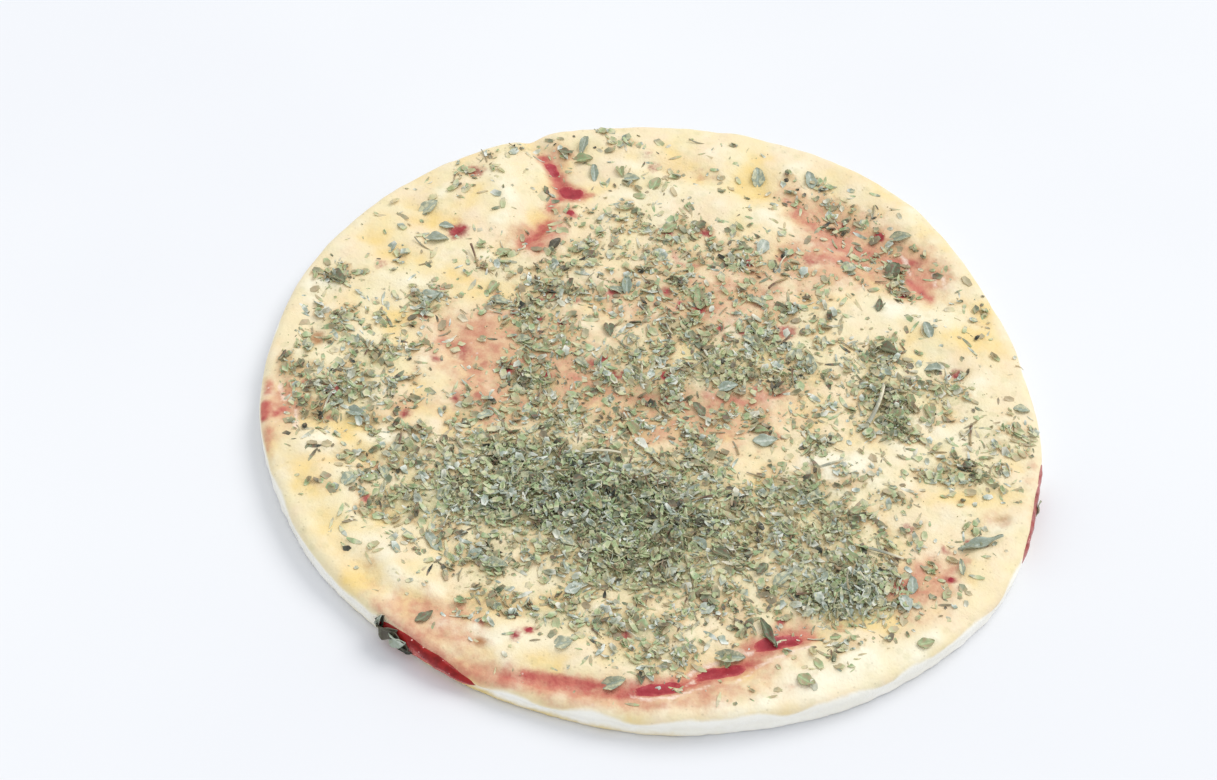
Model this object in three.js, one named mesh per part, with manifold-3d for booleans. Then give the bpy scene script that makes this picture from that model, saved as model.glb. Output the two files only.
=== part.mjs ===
// A flat round pizza base of pale baked dough, lying on its underside. The top has soft
// puffs, furrows and dimples, the underside has docking pits, and dried herb leaves, a few
// stems and thick sauce at the rim are baked on, so the whole base is one solid.
// Millimetres, +Z up. The origin is the middle of the underside.

import * as THREE from 'three';
import { mergeVertices } from 'three/addons/utils/BufferGeometryUtils.js';
import Module from 'manifold-3d';

// Overall sizes of the dough
const BASE_RADIUS = 100;
const RIM_HEIGHT = 7;
const CROWN_RISE = 1.3;
const SHOULDER_WIDTH = 2.8;
const SHOULDER_DROP = 2.4;
const FOOT_HEIGHT = 0.9;
const WALL_LEAN = 0.3;
const FOOT_INSET = 1;

// Facets of the dough: rings on the top, the points that each adds to the last, and rows down the shoulder
const TOP_RINGS = 23;
const RING_GROWTH = 6;
const SHOULDER_ROWS = 4;

// Uneven outline of the rolled dough: waves round the rim, their size and their phase in degrees
const OUTLINE_LOBES = [
  { waves: 3, size: 1.45, phase: 133 },
  { waves: 4, size: 0.75, phase: 97 },
  { waves: 5, size: 0.5, phase: 63 },
  { waves: 13, size: 0.2, phase: 20 },
];

// Shallow notch in the rim that sauce fills: its middle and half span in degrees, and its depth
const NOTCH_MIDDLE = -10;
const NOTCH_HALF_SPAN = 8;
const NOTCH_DEPTH = 1.3;

// Puffs on the top: x, y, half length, half width, heading in degrees, rise
const PUFFS = [
  [-54, 65, 19, 13, 55, 2.0],
  [0, 89, 32, 7, 0, 1.5],
  [58, 76, 26, 6, -43, 1.7],
  [12, 70, 20, 7, -5, 1.3],
  [76, 34, 16, 9, -20, 1.2],
  [50, -16, 14, 7, 15, 1.3],
  [-78, 38, 14, 12, 50, 1.1],
  [-82, -38, 16, 10, -60, 1.3],
  [-56, -66, 18, 7, -25, 1.3],
  [-14, -82, 20, 5.5, -3, 1.3],
  [44, -83, 30, 6, 29, 1.2],
  [84, -42, 20, 5, 63, 1.1],
  [72, -23, 15, 5, 20, 1.2],
  [10, -72, 11, 4, 5, 0.9],
  [-22, 22, 8, 6, 0, 0.7],
  [-86, 0, 12, 9, 90, 0.7],
  [88, 5, 10, 8, 90, 0.8],
  [10, -40, 46, 15, 0, 0.8],
];

// Furrows where the dough sank and sauce shows: half width, depth and course
const FURROWS = [
  { half: 3.2, depth: 1.8, course: [[-44, 86], [-38, 78], [-33, 68], [-36, 60], [-40, 50], [-46, 44]] },
  { half: 7, depth: 1.3, course: [[20, 79], [34, 72], [48, 63], [60, 56], [70, 49]] },
  { half: 2.5, depth: 0.7, course: [[-14, 82], [4, 80], [20, 79]] },
  {
    half: 3,
    depth: 1.5,
    course: [
      [-40, -90.5], [-28, -92], [-12, -92.8], [0, -92], [10, -88.5], [20, -82.5],
      [30, -76], [40, -69], [52, -62], [66, -50], [88, -26],
    ],
  },
  { half: 2.6, depth: 0.9, course: [[-72, -61], [-58, -73], [-44, -76], [-30, -73], [-18, -69]] },
  { half: 3, depth: 1, course: [[-97, -10], [-92, -22], [-82, -25], [-70, -23]] },
  { half: 10, depth: 0.9, course: [[-62, 14], [-50, 3], [-34, -4], [-10, -6], [14, -6], [30, 2]] },
  { half: 2.6, depth: 0.8, course: [[-93, -41], [-83, -36], [-73, -32], [-66, -35]] },
  { half: 2.6, depth: 0.7, course: [[-77, -55], [-70, -55], [-61, -51]] },
  { half: 2.6, depth: 0.8, course: [[66, -17], [78, -20], [87, -19], [94, -16]] },
];

// Dimples: x, y, radius, depth
const DIMPLES = [
  [-60, 47, 3.5, 0.9],
  [-58, 70, 3.5, 0.8],
  [-62, 26, 3.2, 0.7],
  [-89, 4, 4, 0.9],
  [-15, 34, 3.5, 0.6],
  [7, 31, 3.2, 0.7],
  [32, 31, 4, 0.6],
  [0, 48, 4, 0.6],
  [75, 22, 3.2, 0.7],
  [-23, -78, 3.2, 0.8],
  [1, -76, 3.2, 0.8],
  [77, -46, 3.2, 0.6],
  [-67, -45, 3.2, 0.6],
  [-65, -34, 4, 0.6],
  [-42, -69, 4, 0.8],
  [-34, -83, 3.2, 0.7],
  [-63, -65, 4, 0.7],
  [-53, 5, 4, 0.6],
];

// Docking pits pricked into the underside, in staggered rows that wander a little
const PIT_PITCH = 23;
const PIT_RADIUS = 2;
const PIT_DEPTH = 0.9;
const PIT_FIELD_RADIUS = 86;
const PIT_SIDES = 6;
const PIT_WANDER = 3;

// Shift of every other row of pits, as a share of the pitch, and how the wander turns with row and column
const EVEN_ROW_SHIFT = 0.25;
const ODD_ROW_SHIFT = 0.75;
const WANDER_TURNS = { rowX: 1.7, columnX: 2.9, rowY: 2.3, columnY: -1.3 };

// Large herb leaves that can be told apart: x, y, length, width, heading in degrees, tilt in degrees
const LARGE_LEAVES = [
  [84, -34, 11.5, 3.4, 14, 4],
  [18.5, 84, 6.2, 4.2, 98, 8],
  [33, 85, 5.4, 3.6, 110, 6],
  [58.5, 67.5, 6.4, 3.2, 18, 10],
  [-30, 86.5, 7, 2.6, 84, 3],
  [-26, 76.5, 6.6, 2.4, 100, 3],
  [-33, 47.5, 4.6, 2.8, 60, 12],
  [-68, 54, 6.4, 4, 50, 5],
  [-64, 43, 6.4, 3.4, 20, 5],
  [-46, 42.5, 6, 3.6, 55, 10],
  [-63, 23, 5.6, 4.6, 20, 8],
  [-88, 25, 6.4, 4.4, -35, 10],
  [-45, 24.5, 5.4, 3.2, -15, 5],
  [-12.5, 36, 6.4, 3, 98, 5],
  [-9, 75, 5, 3.6, 70, 8],
  [-16, 76, 5, 3, 10, 5],
  [7, 35, 6.4, 3.8, 105, 8],
  [22, 57, 5, 4, 80, 12],
  [57.5, 56, 7, 4.6, 75, 12],
  [45.5, 54, 4.8, 4, 30, 10],
  [67.5, 34.5, 5.4, 3, 112, 4],
  [57, 26, 6.4, 4, -25, 10],
  [17, 5, 5.4, 3.4, 22, 8],
  [28, -11, 6.2, 4.2, 10, 5],
  [93, 12, 4.4, 3, 0, 3],
  [-48, -79, 5, 3, 42, 5],
  [-72.5, -41.5, 5, 4.2, 60, 3],
  [-14.5, -82, 4.6, 4.2, 20, 8],
  [-3, -17.5, 5.8, 2.8, -48, 5],
  [-14, -65, 4.6, 3.4, 30, 8],
  [66, -55, 5.2, 3.6, 118, 3],
  [79.5, -42, 5.4, 1.8, 100, 3],
  [25, -77.5, 8, 3.6, 8, 8],
  [33.5, -70, 8.4, 2.4, -55, 8],
  [18.5, -65.5, 4.6, 3.8, 40, 8],
  [43.5, -83, 4.8, 4, -30, 6],
  [71.5, -67, 4.4, 3.2, 20, 3],
  [-1.5, -90, 6.2, 3.6, 28, 8],
];

// Dry stems: x, y, length, heading in degrees
const STEMS = [
  [55.3, 6, 14, 76],
  [27, 43.5, 8, 52],
  [-53.5, 38.5, 7, -66],
  [-12, -23, 9, 3],
  [60.5, -41.5, 9, -10],
];
const STEM_WIDTH = 1.1;

// Herb patches where leaves lie thick: x, y, half length, half width, heading in degrees, weight
const HERB_PATCHES = [
  [0, -42, 60, 20, 0, 1.0],
  [44, -54, 18, 11, 15, 0.6],
  [0, 12, 46, 26, 0, 0.5],
  [-78, -13, 13, 6, 0, 0.7],
  [-88, 5, 7, 5, 0, 0.4],
  [60, 9, 9, 12, 80, 0.7],
  [78, -10, 9, 6, -30, 0.6],
  [-36, 86, 12, 5, -25, 0.5],
  [-62, 68, 8, 7, 30, 0.4],
];
const BARE_DENSITY = 0.06;

// Leaves spread over the patches by rule, the longest first
const SPREAD_COUNT = 56;
const SPREAD_LONGEST = 6;
const SPREAD_SHORTEST = 4;
const SPREAD_SLENDERNESS = 0.58;
const SPREAD_RADIUS = 93;
const SPREAD_TILT = 9;
const GOLDEN_TURN = 137.508;

// Steps of the three-way additive sequence that spreads points evenly
const EVEN_STEPS = [0.8191725134, 0.6710436067, 0.5497004779];

// Form of a leaf: its thickness, its cupped and wavy edge, and its width at two lines along its length
const LEAF_THICKNESS = 0.9;
const LEAF_CUP = 0.25;
const LEAF_WAVE = 0.2;
const LEAF_WAVE_TURN = 2;
const LEAF_LINES = [
  { along: -0.18, across: 1 },
  { along: 0.22, across: 0.78 },
];

// Thick sauce that ran over the rim: angle in degrees, half length along the rim, half thickness
const SAUCE_LUMPS = [
  [-121, 5.5, 2.4],
  [-117, 5.5, 2.2],
  [-113, 5, 1.8],
  [-6, 4.5, 2.2],
  [-11, 4.5, 2.4],
  [-16, 4, 2],
];
const SAUCE_HEIGHT = 3.9;
const SAUCE_HALF_HEIGHT = 2.4;
const SAUCE_SINK = 1;

// Leaves stuck to the rim: angle in degrees, height, length, width, heading from upright in degrees
const RIM_LEAVES = [
  [-124.5, 4.6, 7, 4, 60],
  [-122, 4.2, 6, 3.6, 115],
  [-10, 4.8, 4.8, 2.8, 20],
];

// Distance over which the slope of the dough is taken
const SLOPE_STEP = 1;

// Finish
const CRUST_COLOUR = 0xf2e1b0;
const CRUST_ROUGHNESS = 0.62;

const wasm = await Module();
wasm.setup();

const radians = THREE.MathUtils.degToRad;
const fraction = (value) => value - Math.floor(value);

// Distance of a point from a patch in its own axes, where 1 is the patch's edge
function patchDistance(x, y, [centreX, centreY, halfLength, halfWidth, heading]) {
  const cos = Math.cos(radians(heading));
  const sin = Math.sin(radians(heading));
  const along = (x - centreX) * cos + (y - centreY) * sin;
  const across = (y - centreY) * cos - (x - centreX) * sin;
  return Math.hypot(along / halfLength, across / halfWidth);
}

function distanceToCourse(x, y, course) {
  let nearest = Infinity;
  for (let i = 1; i < course.length; i += 1) {
    const [startX, startY] = course[i - 1];
    const runX = course[i][0] - startX;
    const runY = course[i][1] - startY;
    const part = ((x - startX) * runX + (y - startY) * runY) / (runX * runX + runY * runY);
    const at = THREE.MathUtils.clamp(part, 0, 1);
    nearest = Math.min(nearest, Math.hypot(x - startX - at * runX, y - startY - at * runY));
  }
  return nearest;
}

const bell = (distance) => Math.exp(-distance * distance);

// Sum of soft patches at a point, each with its weight last
function patchSum(x, y, patches) {
  return patches.reduce((sum, patch) => sum + patch.at(-1) * bell(patchDistance(x, y, patch)), 0);
}

// Radius of the outline at an angle round the rim
function outlineRadius(angle) {
  let radius = BASE_RADIUS;
  for (const { waves, size, phase } of OUTLINE_LOBES) {
    radius += size * Math.cos(waves * angle + radians(phase));
  }
  const turn = angle - radians(NOTCH_MIDDLE);
  const fromNotch = Math.atan2(Math.sin(turn), Math.cos(turn));
  return radius - NOTCH_DEPTH * bell(fromNotch / radians(NOTCH_HALF_SPAN));
}

// Height of the top of the dough, inside its shoulder
function topHeight(x, y) {
  const reach = Math.hypot(x, y) / BASE_RADIUS;
  let height = RIM_HEIGHT + CROWN_RISE * (1 - reach * reach) + patchSum(x, y, PUFFS);
  for (const { half, depth, course } of FURROWS) {
    height -= depth * bell(distanceToCourse(x, y, course) / half);
  }
  for (const [dimpleX, dimpleY, radius, depth] of DIMPLES) {
    height -= depth * bell(Math.hypot(x - dimpleX, y - dimpleY) / radius);
  }
  return height;
}

// Joins rings of points into a closed skin: the first and last entries are single points
function skinOfRings(rings) {
  const positions = [];
  const starts = [];
  for (const ring of rings) {
    starts.push(positions.length / 3);
    positions.push(...ring.flat());
  }
  const index = [];
  for (let k = 1; k < rings.length; k += 1) {
    const inner = rings[k - 1].length;
    const outer = rings[k].length;
    let i = 0;
    let j = 0;
    const steps = (inner > 1 ? inner : 0) + (outer > 1 ? outer : 0);
    for (let step = 0; step < steps; step += 1) {
      const a = starts[k - 1] + (i % inner);
      const b = starts[k] + (j % outer);
      const innerNext = inner > 1 ? (i + 1) / inner : Infinity;
      const outerNext = outer > 1 ? (j + 1) / outer : Infinity;
      if (outerNext <= innerNext) {
        index.push(a, b, starts[k] + ((j + 1) % outer));
        j += 1;
      } else {
        index.push(a, b, starts[k - 1] + ((i + 1) % inner));
        i += 1;
      }
    }
  }
  const geometry = new THREE.BufferGeometry();
  geometry.setAttribute('position', new THREE.Float32BufferAttribute(positions, 3));
  geometry.setIndex(index);
  return geometry;
}

// A ring of points round the dough, where place gives each one's radius and height by its angle
function ringOfPoints(count, place) {
  const ring = [];
  for (let i = 0; i < count; i += 1) {
    const angle = (2 * Math.PI * i) / count;
    const [radius, height] = place(angle);
    ring.push([radius * Math.cos(angle), radius * Math.sin(angle), height]);
  }
  return ring;
}

function doughGeometry() {
  const rings = [[[0, 0, topHeight(0, 0)]]];
  for (let k = 1; k <= TOP_RINGS; k += 1) {
    rings.push(ringOfPoints(RING_GROWTH * k, (angle) => {
      const radius = ((outlineRadius(angle) - SHOULDER_WIDTH) * k) / TOP_RINGS;
      return [radius, topHeight(radius * Math.cos(angle), radius * Math.sin(angle))];
    }));
  }
  const rimCount = RING_GROWTH * TOP_RINGS;
  for (let row = 1; row <= SHOULDER_ROWS; row += 1) {
    const turn = ((Math.PI / 2) * row) / SHOULDER_ROWS;
    rings.push(ringOfPoints(rimCount, (angle) => {
      const inner = outlineRadius(angle) - SHOULDER_WIDTH;
      const brink = topHeight(inner * Math.cos(angle), inner * Math.sin(angle));
      return [inner + SHOULDER_WIDTH * Math.sin(turn), brink - SHOULDER_DROP * (1 - Math.cos(turn))];
    }));
  }
  rings.push(ringOfPoints(rimCount, (angle) => [outlineRadius(angle) - WALL_LEAN, FOOT_HEIGHT]));
  rings.push(ringOfPoints(rimCount, (angle) => [outlineRadius(angle) - FOOT_INSET, 0]));
  rings.push([[0, 0, 0]]);
  return skinOfRings(rings);
}

// Cones that prick the docking pits, none of them under the middle of the base
function pitGeometries() {
  const pits = [];
  const rowPitch = PIT_PITCH * Math.sin(Math.PI / 3);
  const rowCount = Math.ceil(PIT_FIELD_RADIUS / rowPitch);
  const { rowX, columnX, rowY, columnY } = WANDER_TURNS;
  for (let row = -rowCount; row < rowCount; row += 1) {
    const y = (row + 1 / 2) * rowPitch;
    const shift = row % 2 === 0 ? EVEN_ROW_SHIFT : ODD_ROW_SHIFT;
    for (let column = -rowCount; column <= rowCount; column += 1) {
      const x = (column + shift) * PIT_PITCH;
      const pitX = x + PIT_WANDER * Math.sin(rowX * row + columnX * column);
      const pitY = y + PIT_WANDER * Math.cos(rowY * row + columnY * column);
      if (Math.hypot(pitX, pitY) < PIT_FIELD_RADIUS) {
        const cone = new THREE.ConeGeometry(PIT_RADIUS, 2 * PIT_DEPTH, PIT_SIDES);
        cone.rotateX(Math.PI / 2);
        cone.translate(pitX, pitY, 0);
        pits.push(cone);
      }
    }
  }
  return pits;
}

// A thin wavy leaf about its middle, its length along x, with both faces split alike
function leafGeometry(length, width) {
  const outline = [[-length / 2, 0]];
  for (const { along, across } of LEAF_LINES) {
    outline.push([along * length, (-across * width) / 2]);
  }
  outline.push([length / 2, 0]);
  for (const { along, across } of [...LEAF_LINES].reverse()) {
    outline.push([along * length, (across * width) / 2]);
  }
  const edgeHeight = (i) => LEAF_CUP + LEAF_WAVE * Math.sin(LEAF_WAVE_TURN * i);
  const face = (lift) => outline.map(([x, y], i) => [x, y, edgeHeight(i) + lift]);
  const half = LEAF_THICKNESS / 2;
  return skinOfRings([[[0, 0, half]], face(half), face(-half), [[0, 0, -half]]]);
}

// Turns a geometry's x axis to a heading in the plane of a surface, and its z axis to the normal
function seat(geometry, point, normal, heading, tilt) {
  const across = new THREE.Vector3().crossVectors(normal, heading).normalize();
  const along = new THREE.Vector3().crossVectors(across, normal);
  const place = new THREE.Matrix4().makeBasis(along, across, normal);
  place.setPosition(point);
  geometry.rotateY(-radians(tilt));
  geometry.applyMatrix4(place);
  return geometry;
}

// Seats a geometry on the top of the dough, half sunk into it
function seatOnTop(geometry, x, y, heading, tilt) {
  const slopeX = (topHeight(x + SLOPE_STEP, y) - topHeight(x - SLOPE_STEP, y)) / (2 * SLOPE_STEP);
  const slopeY = (topHeight(x, y + SLOPE_STEP) - topHeight(x, y - SLOPE_STEP)) / (2 * SLOPE_STEP);
  const normal = new THREE.Vector3(-slopeX, -slopeY, 1).normalize();
  const point = new THREE.Vector3(x, y, topHeight(x, y));
  const direction = new THREE.Vector3(Math.cos(radians(heading)), Math.sin(radians(heading)), 0);
  return seat(geometry, point, normal, direction, tilt);
}

// Share of a place that herbs cover, from 0 to 1
function herbDensity(x, y) {
  return Math.min(BARE_DENSITY + patchSum(x, y, HERB_PATCHES), 1);
}

function spreadLeafGeometries() {
  const leaves = [];
  for (let draw = 1; leaves.length < SPREAD_COUNT; draw += 1) {
    const [partX, partY, chance] = EVEN_STEPS.map((step) => fraction(0.5 + draw * step));
    const x = (2 * partX - 1) * SPREAD_RADIUS;
    const y = (2 * partY - 1) * SPREAD_RADIUS;
    if (Math.hypot(x, y) < SPREAD_RADIUS && chance < herbDensity(x, y)) {
      const rank = leaves.length;
      const length = SPREAD_LONGEST + ((SPREAD_SHORTEST - SPREAD_LONGEST) * rank) / SPREAD_COUNT;
      const leaf = leafGeometry(length, length * SPREAD_SLENDERNESS);
      leaves.push(seatOnTop(leaf, x, y, GOLDEN_TURN * rank, SPREAD_TILT));
    }
  }
  return leaves;
}

// Outward direction and point on the side of the dough at an angle and height
function rimPlace(angle, height) {
  const outward = new THREE.Vector3(Math.cos(angle), Math.sin(angle), 0);
  const above = THREE.MathUtils.clamp(1 - (RIM_HEIGHT - height) / SHOULDER_DROP, 0, 1);
  const inset = SHOULDER_WIDTH * (1 - Math.sqrt(1 - above * above));
  const point = outward.clone().multiplyScalar(outlineRadius(angle) - inset);
  point.z = height;
  return { outward, point };
}

function sauceGeometries() {
  return SAUCE_LUMPS.map(([degrees, halfLength, halfThickness]) => {
    const angle = radians(degrees);
    const { outward, point } = rimPlace(angle, SAUCE_HEIGHT);
    const lump = new THREE.IcosahedronGeometry(1, 1);
    lump.scale(halfThickness, halfLength, SAUCE_HALF_HEIGHT);
    lump.rotateZ(angle);
    point.addScaledVector(outward, -SAUCE_SINK);
    lump.translate(point.x, point.y, point.z);
    return lump;
  });
}

function rimLeafGeometries() {
  return RIM_LEAVES.map(([degrees, height, length, width, lean]) => {
    const angle = radians(degrees);
    const { outward, point } = rimPlace(angle, height);
    const sideways = new THREE.Vector3(-outward.y, outward.x, 0);
    const heading = new THREE.Vector3(0, 0, Math.cos(radians(lean)));
    heading.addScaledVector(sideways, Math.sin(radians(lean)));
    point.addScaledVector(outward, SAUCE_SINK);
    return seat(leafGeometry(length, width), point, outward, heading, SPREAD_TILT);
  });
}

// A closed mesh as a solid that can be joined and cut
function solidFrom(geometry) {
  const bare = geometry.clone();
  bare.deleteAttribute('normal');
  bare.deleteAttribute('uv');
  const merged = mergeVertices(bare);
  const mesh = new wasm.Mesh({
    numProp: 3,
    vertProperties: new Float32Array(merged.attributes.position.array),
    triVerts: new Uint32Array(merged.index.array),
  });
  return new wasm.Manifold(mesh);
}

function geometryFrom(solid) {
  const mesh = solid.getMesh();
  const geometry = new THREE.BufferGeometry();
  geometry.setAttribute('position', new THREE.BufferAttribute(mesh.vertProperties, 3));
  geometry.setIndex(new THREE.BufferAttribute(mesh.triVerts, 1));
  geometry.computeVertexNormals();
  return geometry;
}

// The largest body of a solid, without loose scraps or sealed hollows
function mainBody(solid) {
  return solid.decompose().reduce((largest, body) => (body.volume() > largest.volume() ? body : largest));
}

function pizzaBaseSolid() {
  const toppings = [
    ...sauceGeometries(),
    ...rimLeafGeometries(),
    ...LARGE_LEAVES.map(([x, y, length, width, heading, tilt]) => (
      seatOnTop(leafGeometry(length, width), x, y, heading, tilt))),
    ...STEMS.map(([x, y, length, heading]) => seatOnTop(leafGeometry(length, STEM_WIDTH), x, y, heading, 0)),
    ...spreadLeafGeometries(),
  ];
  let solid = solidFrom(doughGeometry());
  for (const pit of pitGeometries()) {
    solid = solid.subtract(solidFrom(pit));
  }
  for (const topping of toppings) {
    solid = solid.add(solidFrom(topping));
  }
  return mainBody(solid);
}

const pizzaBase = new THREE.Mesh(
  geometryFrom(pizzaBaseSolid()),
  new THREE.MeshStandardMaterial({ color: CRUST_COLOUR, roughness: CRUST_ROUGHNESS, metalness: 0 }),
);
pizzaBase.name = 'pizza_base';

const part = new THREE.Group();
part.add(pizzaBase);

export default part;
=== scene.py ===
import math

import bpy
import numpy as np
from mathutils import Matrix, Vector, noise


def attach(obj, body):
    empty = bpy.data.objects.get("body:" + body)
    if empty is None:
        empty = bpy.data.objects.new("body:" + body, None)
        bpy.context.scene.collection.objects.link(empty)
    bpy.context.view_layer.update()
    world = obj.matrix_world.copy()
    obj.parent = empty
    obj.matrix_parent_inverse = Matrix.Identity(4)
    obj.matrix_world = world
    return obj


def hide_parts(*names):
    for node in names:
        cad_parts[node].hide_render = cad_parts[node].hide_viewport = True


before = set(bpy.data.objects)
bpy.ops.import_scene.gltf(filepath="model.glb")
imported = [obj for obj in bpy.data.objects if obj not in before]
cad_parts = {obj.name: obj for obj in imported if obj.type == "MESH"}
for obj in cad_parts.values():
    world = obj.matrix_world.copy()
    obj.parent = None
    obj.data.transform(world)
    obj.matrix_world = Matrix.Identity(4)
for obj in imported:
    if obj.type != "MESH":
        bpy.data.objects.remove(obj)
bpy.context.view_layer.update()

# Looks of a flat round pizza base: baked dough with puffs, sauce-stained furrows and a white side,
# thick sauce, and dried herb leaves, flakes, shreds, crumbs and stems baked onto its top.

# Sizes are in millimetres in the part's frame, and MM turns them into metres
MM = 0.001
SEED = 7

# Overall sizes of the dough
BASE_RADIUS = 100
RIM_HEIGHT = 7
CROWN_RISE = 1.3
SHOULDER_WIDTH = 2.8
SHOULDER_DROP = 2.4
FOOT_HEIGHT = 0.9
WALL_LEAN = 0.3
FOOT_INSET = 1

# Uneven outline of the rolled dough: waves round the rim, their size and their phase in degrees
OUTLINE_LOBES = [(3, 1.45, 133), (4, 0.75, 97), (5, 0.5, 63), (13, 0.2, 20)]

# Shallow notch in the rim that sauce fills: its middle and half span in degrees, and its depth
NOTCH_MIDDLE = -10
NOTCH_HALF_SPAN = 8
NOTCH_DEPTH = 1.3

# Puffs on the top: x, y, half length, half width, heading in degrees, rise
PUFFS = [
    (-54, 65, 19, 13, 55, 2.0),
    (0, 89, 32, 7, 0, 1.5),
    (58, 76, 26, 6, -43, 1.7),
    (12, 70, 20, 7, -5, 1.3),
    (76, 34, 16, 9, -20, 1.2),
    (50, -16, 14, 7, 15, 1.3),
    (-78, 38, 14, 12, 50, 1.1),
    (-82, -38, 16, 10, -60, 1.3),
    (-56, -66, 18, 7, -25, 1.3),
    (-14, -82, 20, 5.5, -3, 1.3),
    (44, -83, 30, 6, 29, 1.2),
    (84, -42, 20, 5, 63, 1.1),
    (72, -23, 15, 5, 20, 1.2),
    (10, -72, 11, 4, 5, 0.9),
    (-22, 22, 8, 6, 0, 0.7),
    (-86, 0, 12, 9, 90, 0.7),
    (88, 5, 10, 8, 90, 0.8),
    (10, -40, 46, 15, 0, 0.8),
]

# Furrows where the dough sank: half width, depth and course
BACK_LEFT_FURROW = [(-44, 86), (-38, 78), (-33, 68), (-36, 60), (-40, 50), (-46, 44)]
BACK_RIGHT_FURROW = [(20, 79), (34, 72), (48, 63), (60, 56), (70, 49)]
BACK_CREASE = [(-14, 82), (4, 80), (20, 79)]
FRONT_FURROW = [
    (-40, -90.5), (-28, -92), (-12, -92.8), (0, -92), (10, -88.5), (20, -82.5),
    (30, -76), (40, -69), (52, -62), (66, -50), (88, -26),
]
FRONT_LEFT_CREASE = [(-72, -61), (-58, -73), (-44, -76), (-30, -73), (-18, -69)]
LEFT_CREASE = [(-97, -10), (-92, -22), (-82, -25), (-70, -23)]
MIDDLE_HOLLOW = [(-62, 14), (-50, 3), (-34, -4), (-10, -6), (14, -6), (30, 2)]
LEFT_FOLD = [(-93, -41), (-83, -36), (-73, -32), (-66, -35)]
LOW_LEFT_FOLD = [(-77, -55), (-70, -55), (-61, -51)]
RIGHT_FOLD = [(66, -17), (78, -20), (87, -19), (94, -16)]
FURROWS = [
    (3.2, 1.8, BACK_LEFT_FURROW),
    (7, 1.3, BACK_RIGHT_FURROW),
    (2.5, 0.7, BACK_CREASE),
    (3, 1.5, FRONT_FURROW),
    (2.6, 0.9, FRONT_LEFT_CREASE),
    (3, 1, LEFT_CREASE),
    (10, 0.9, MIDDLE_HOLLOW),
    (2.6, 0.8, LEFT_FOLD),
    (2.6, 0.7, LOW_LEFT_FOLD),
    (2.6, 0.8, RIGHT_FOLD),
]

# Dimples: x, y, radius, depth
DIMPLES = [
    (-60, 47, 3.5, 0.9),
    (-58, 70, 3.5, 0.8),
    (-62, 26, 3.2, 0.7),
    (-89, 4, 4, 0.9),
    (-15, 34, 3.5, 0.6),
    (7, 31, 3.2, 0.7),
    (32, 31, 4, 0.6),
    (0, 48, 4, 0.6),
    (75, 22, 3.2, 0.7),
    (-23, -78, 3.2, 0.8),
    (1, -76, 3.2, 0.8),
    (77, -46, 3.2, 0.6),
    (-67, -45, 3.2, 0.6),
    (-65, -34, 4, 0.6),
    (-42, -69, 4, 0.8),
    (-34, -83, 3.2, 0.7),
    (-63, -65, 4, 0.7),
    (-53, 5, 4, 0.6),
]

# Small lumps all over the skin, coarse and fine: size across and rise
LUMP_SIZES = [(11, 0.75), (4.2, 0.3)]

# Crumbly side: size, depth and flush share of its lumps, and height, half height and depth of the
# groove round it
SIDE_LUMP_SIZE = 2.6
SIDE_LUMP_DEPTH = 0.45
SIDE_LUMP_FLUSH = 0.3
GROOVE_HEIGHT = 2.9
GROOVE_HALF = 0.7
GROOVE_DEPTH = 0.3

# Wear of the side: where it ends above the foot, and the share of the side over which it fades
WEAR_END = 0.99
WEAR_FADE = 0.1

# Docking pits pricked into the underside, in staggered rows that wander a little
PIT_PITCH = 23
PIT_RADIUS = 2
PIT_DEPTH = 0.9
PIT_STEEPNESS = 1.25
PIT_FIELD_RADIUS = 86
PIT_WANDER = 3
ROW_SHIFTS = (0.25, 0.75)
WANDER_TURNS_X = (1.7, 2.9)
WANDER_TURNS_Y = (2.3, -1.3)

# Mesh of the dough: cuts that split a hexagon into rings of points, rows down the side, shares of
# the side where the shoulder and the wall end, and how near its ends count as top and underside
HEXAGON_CUTS = (10, 9)
SIDE_ROWS = 16
SHOULDER_SHARE = 0.45
WALL_SHARE = 0.85
END_TOLERANCE = 0.001

# Distance over which the slope of the skin is taken
SLOPE_STEP = 0.5

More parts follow.
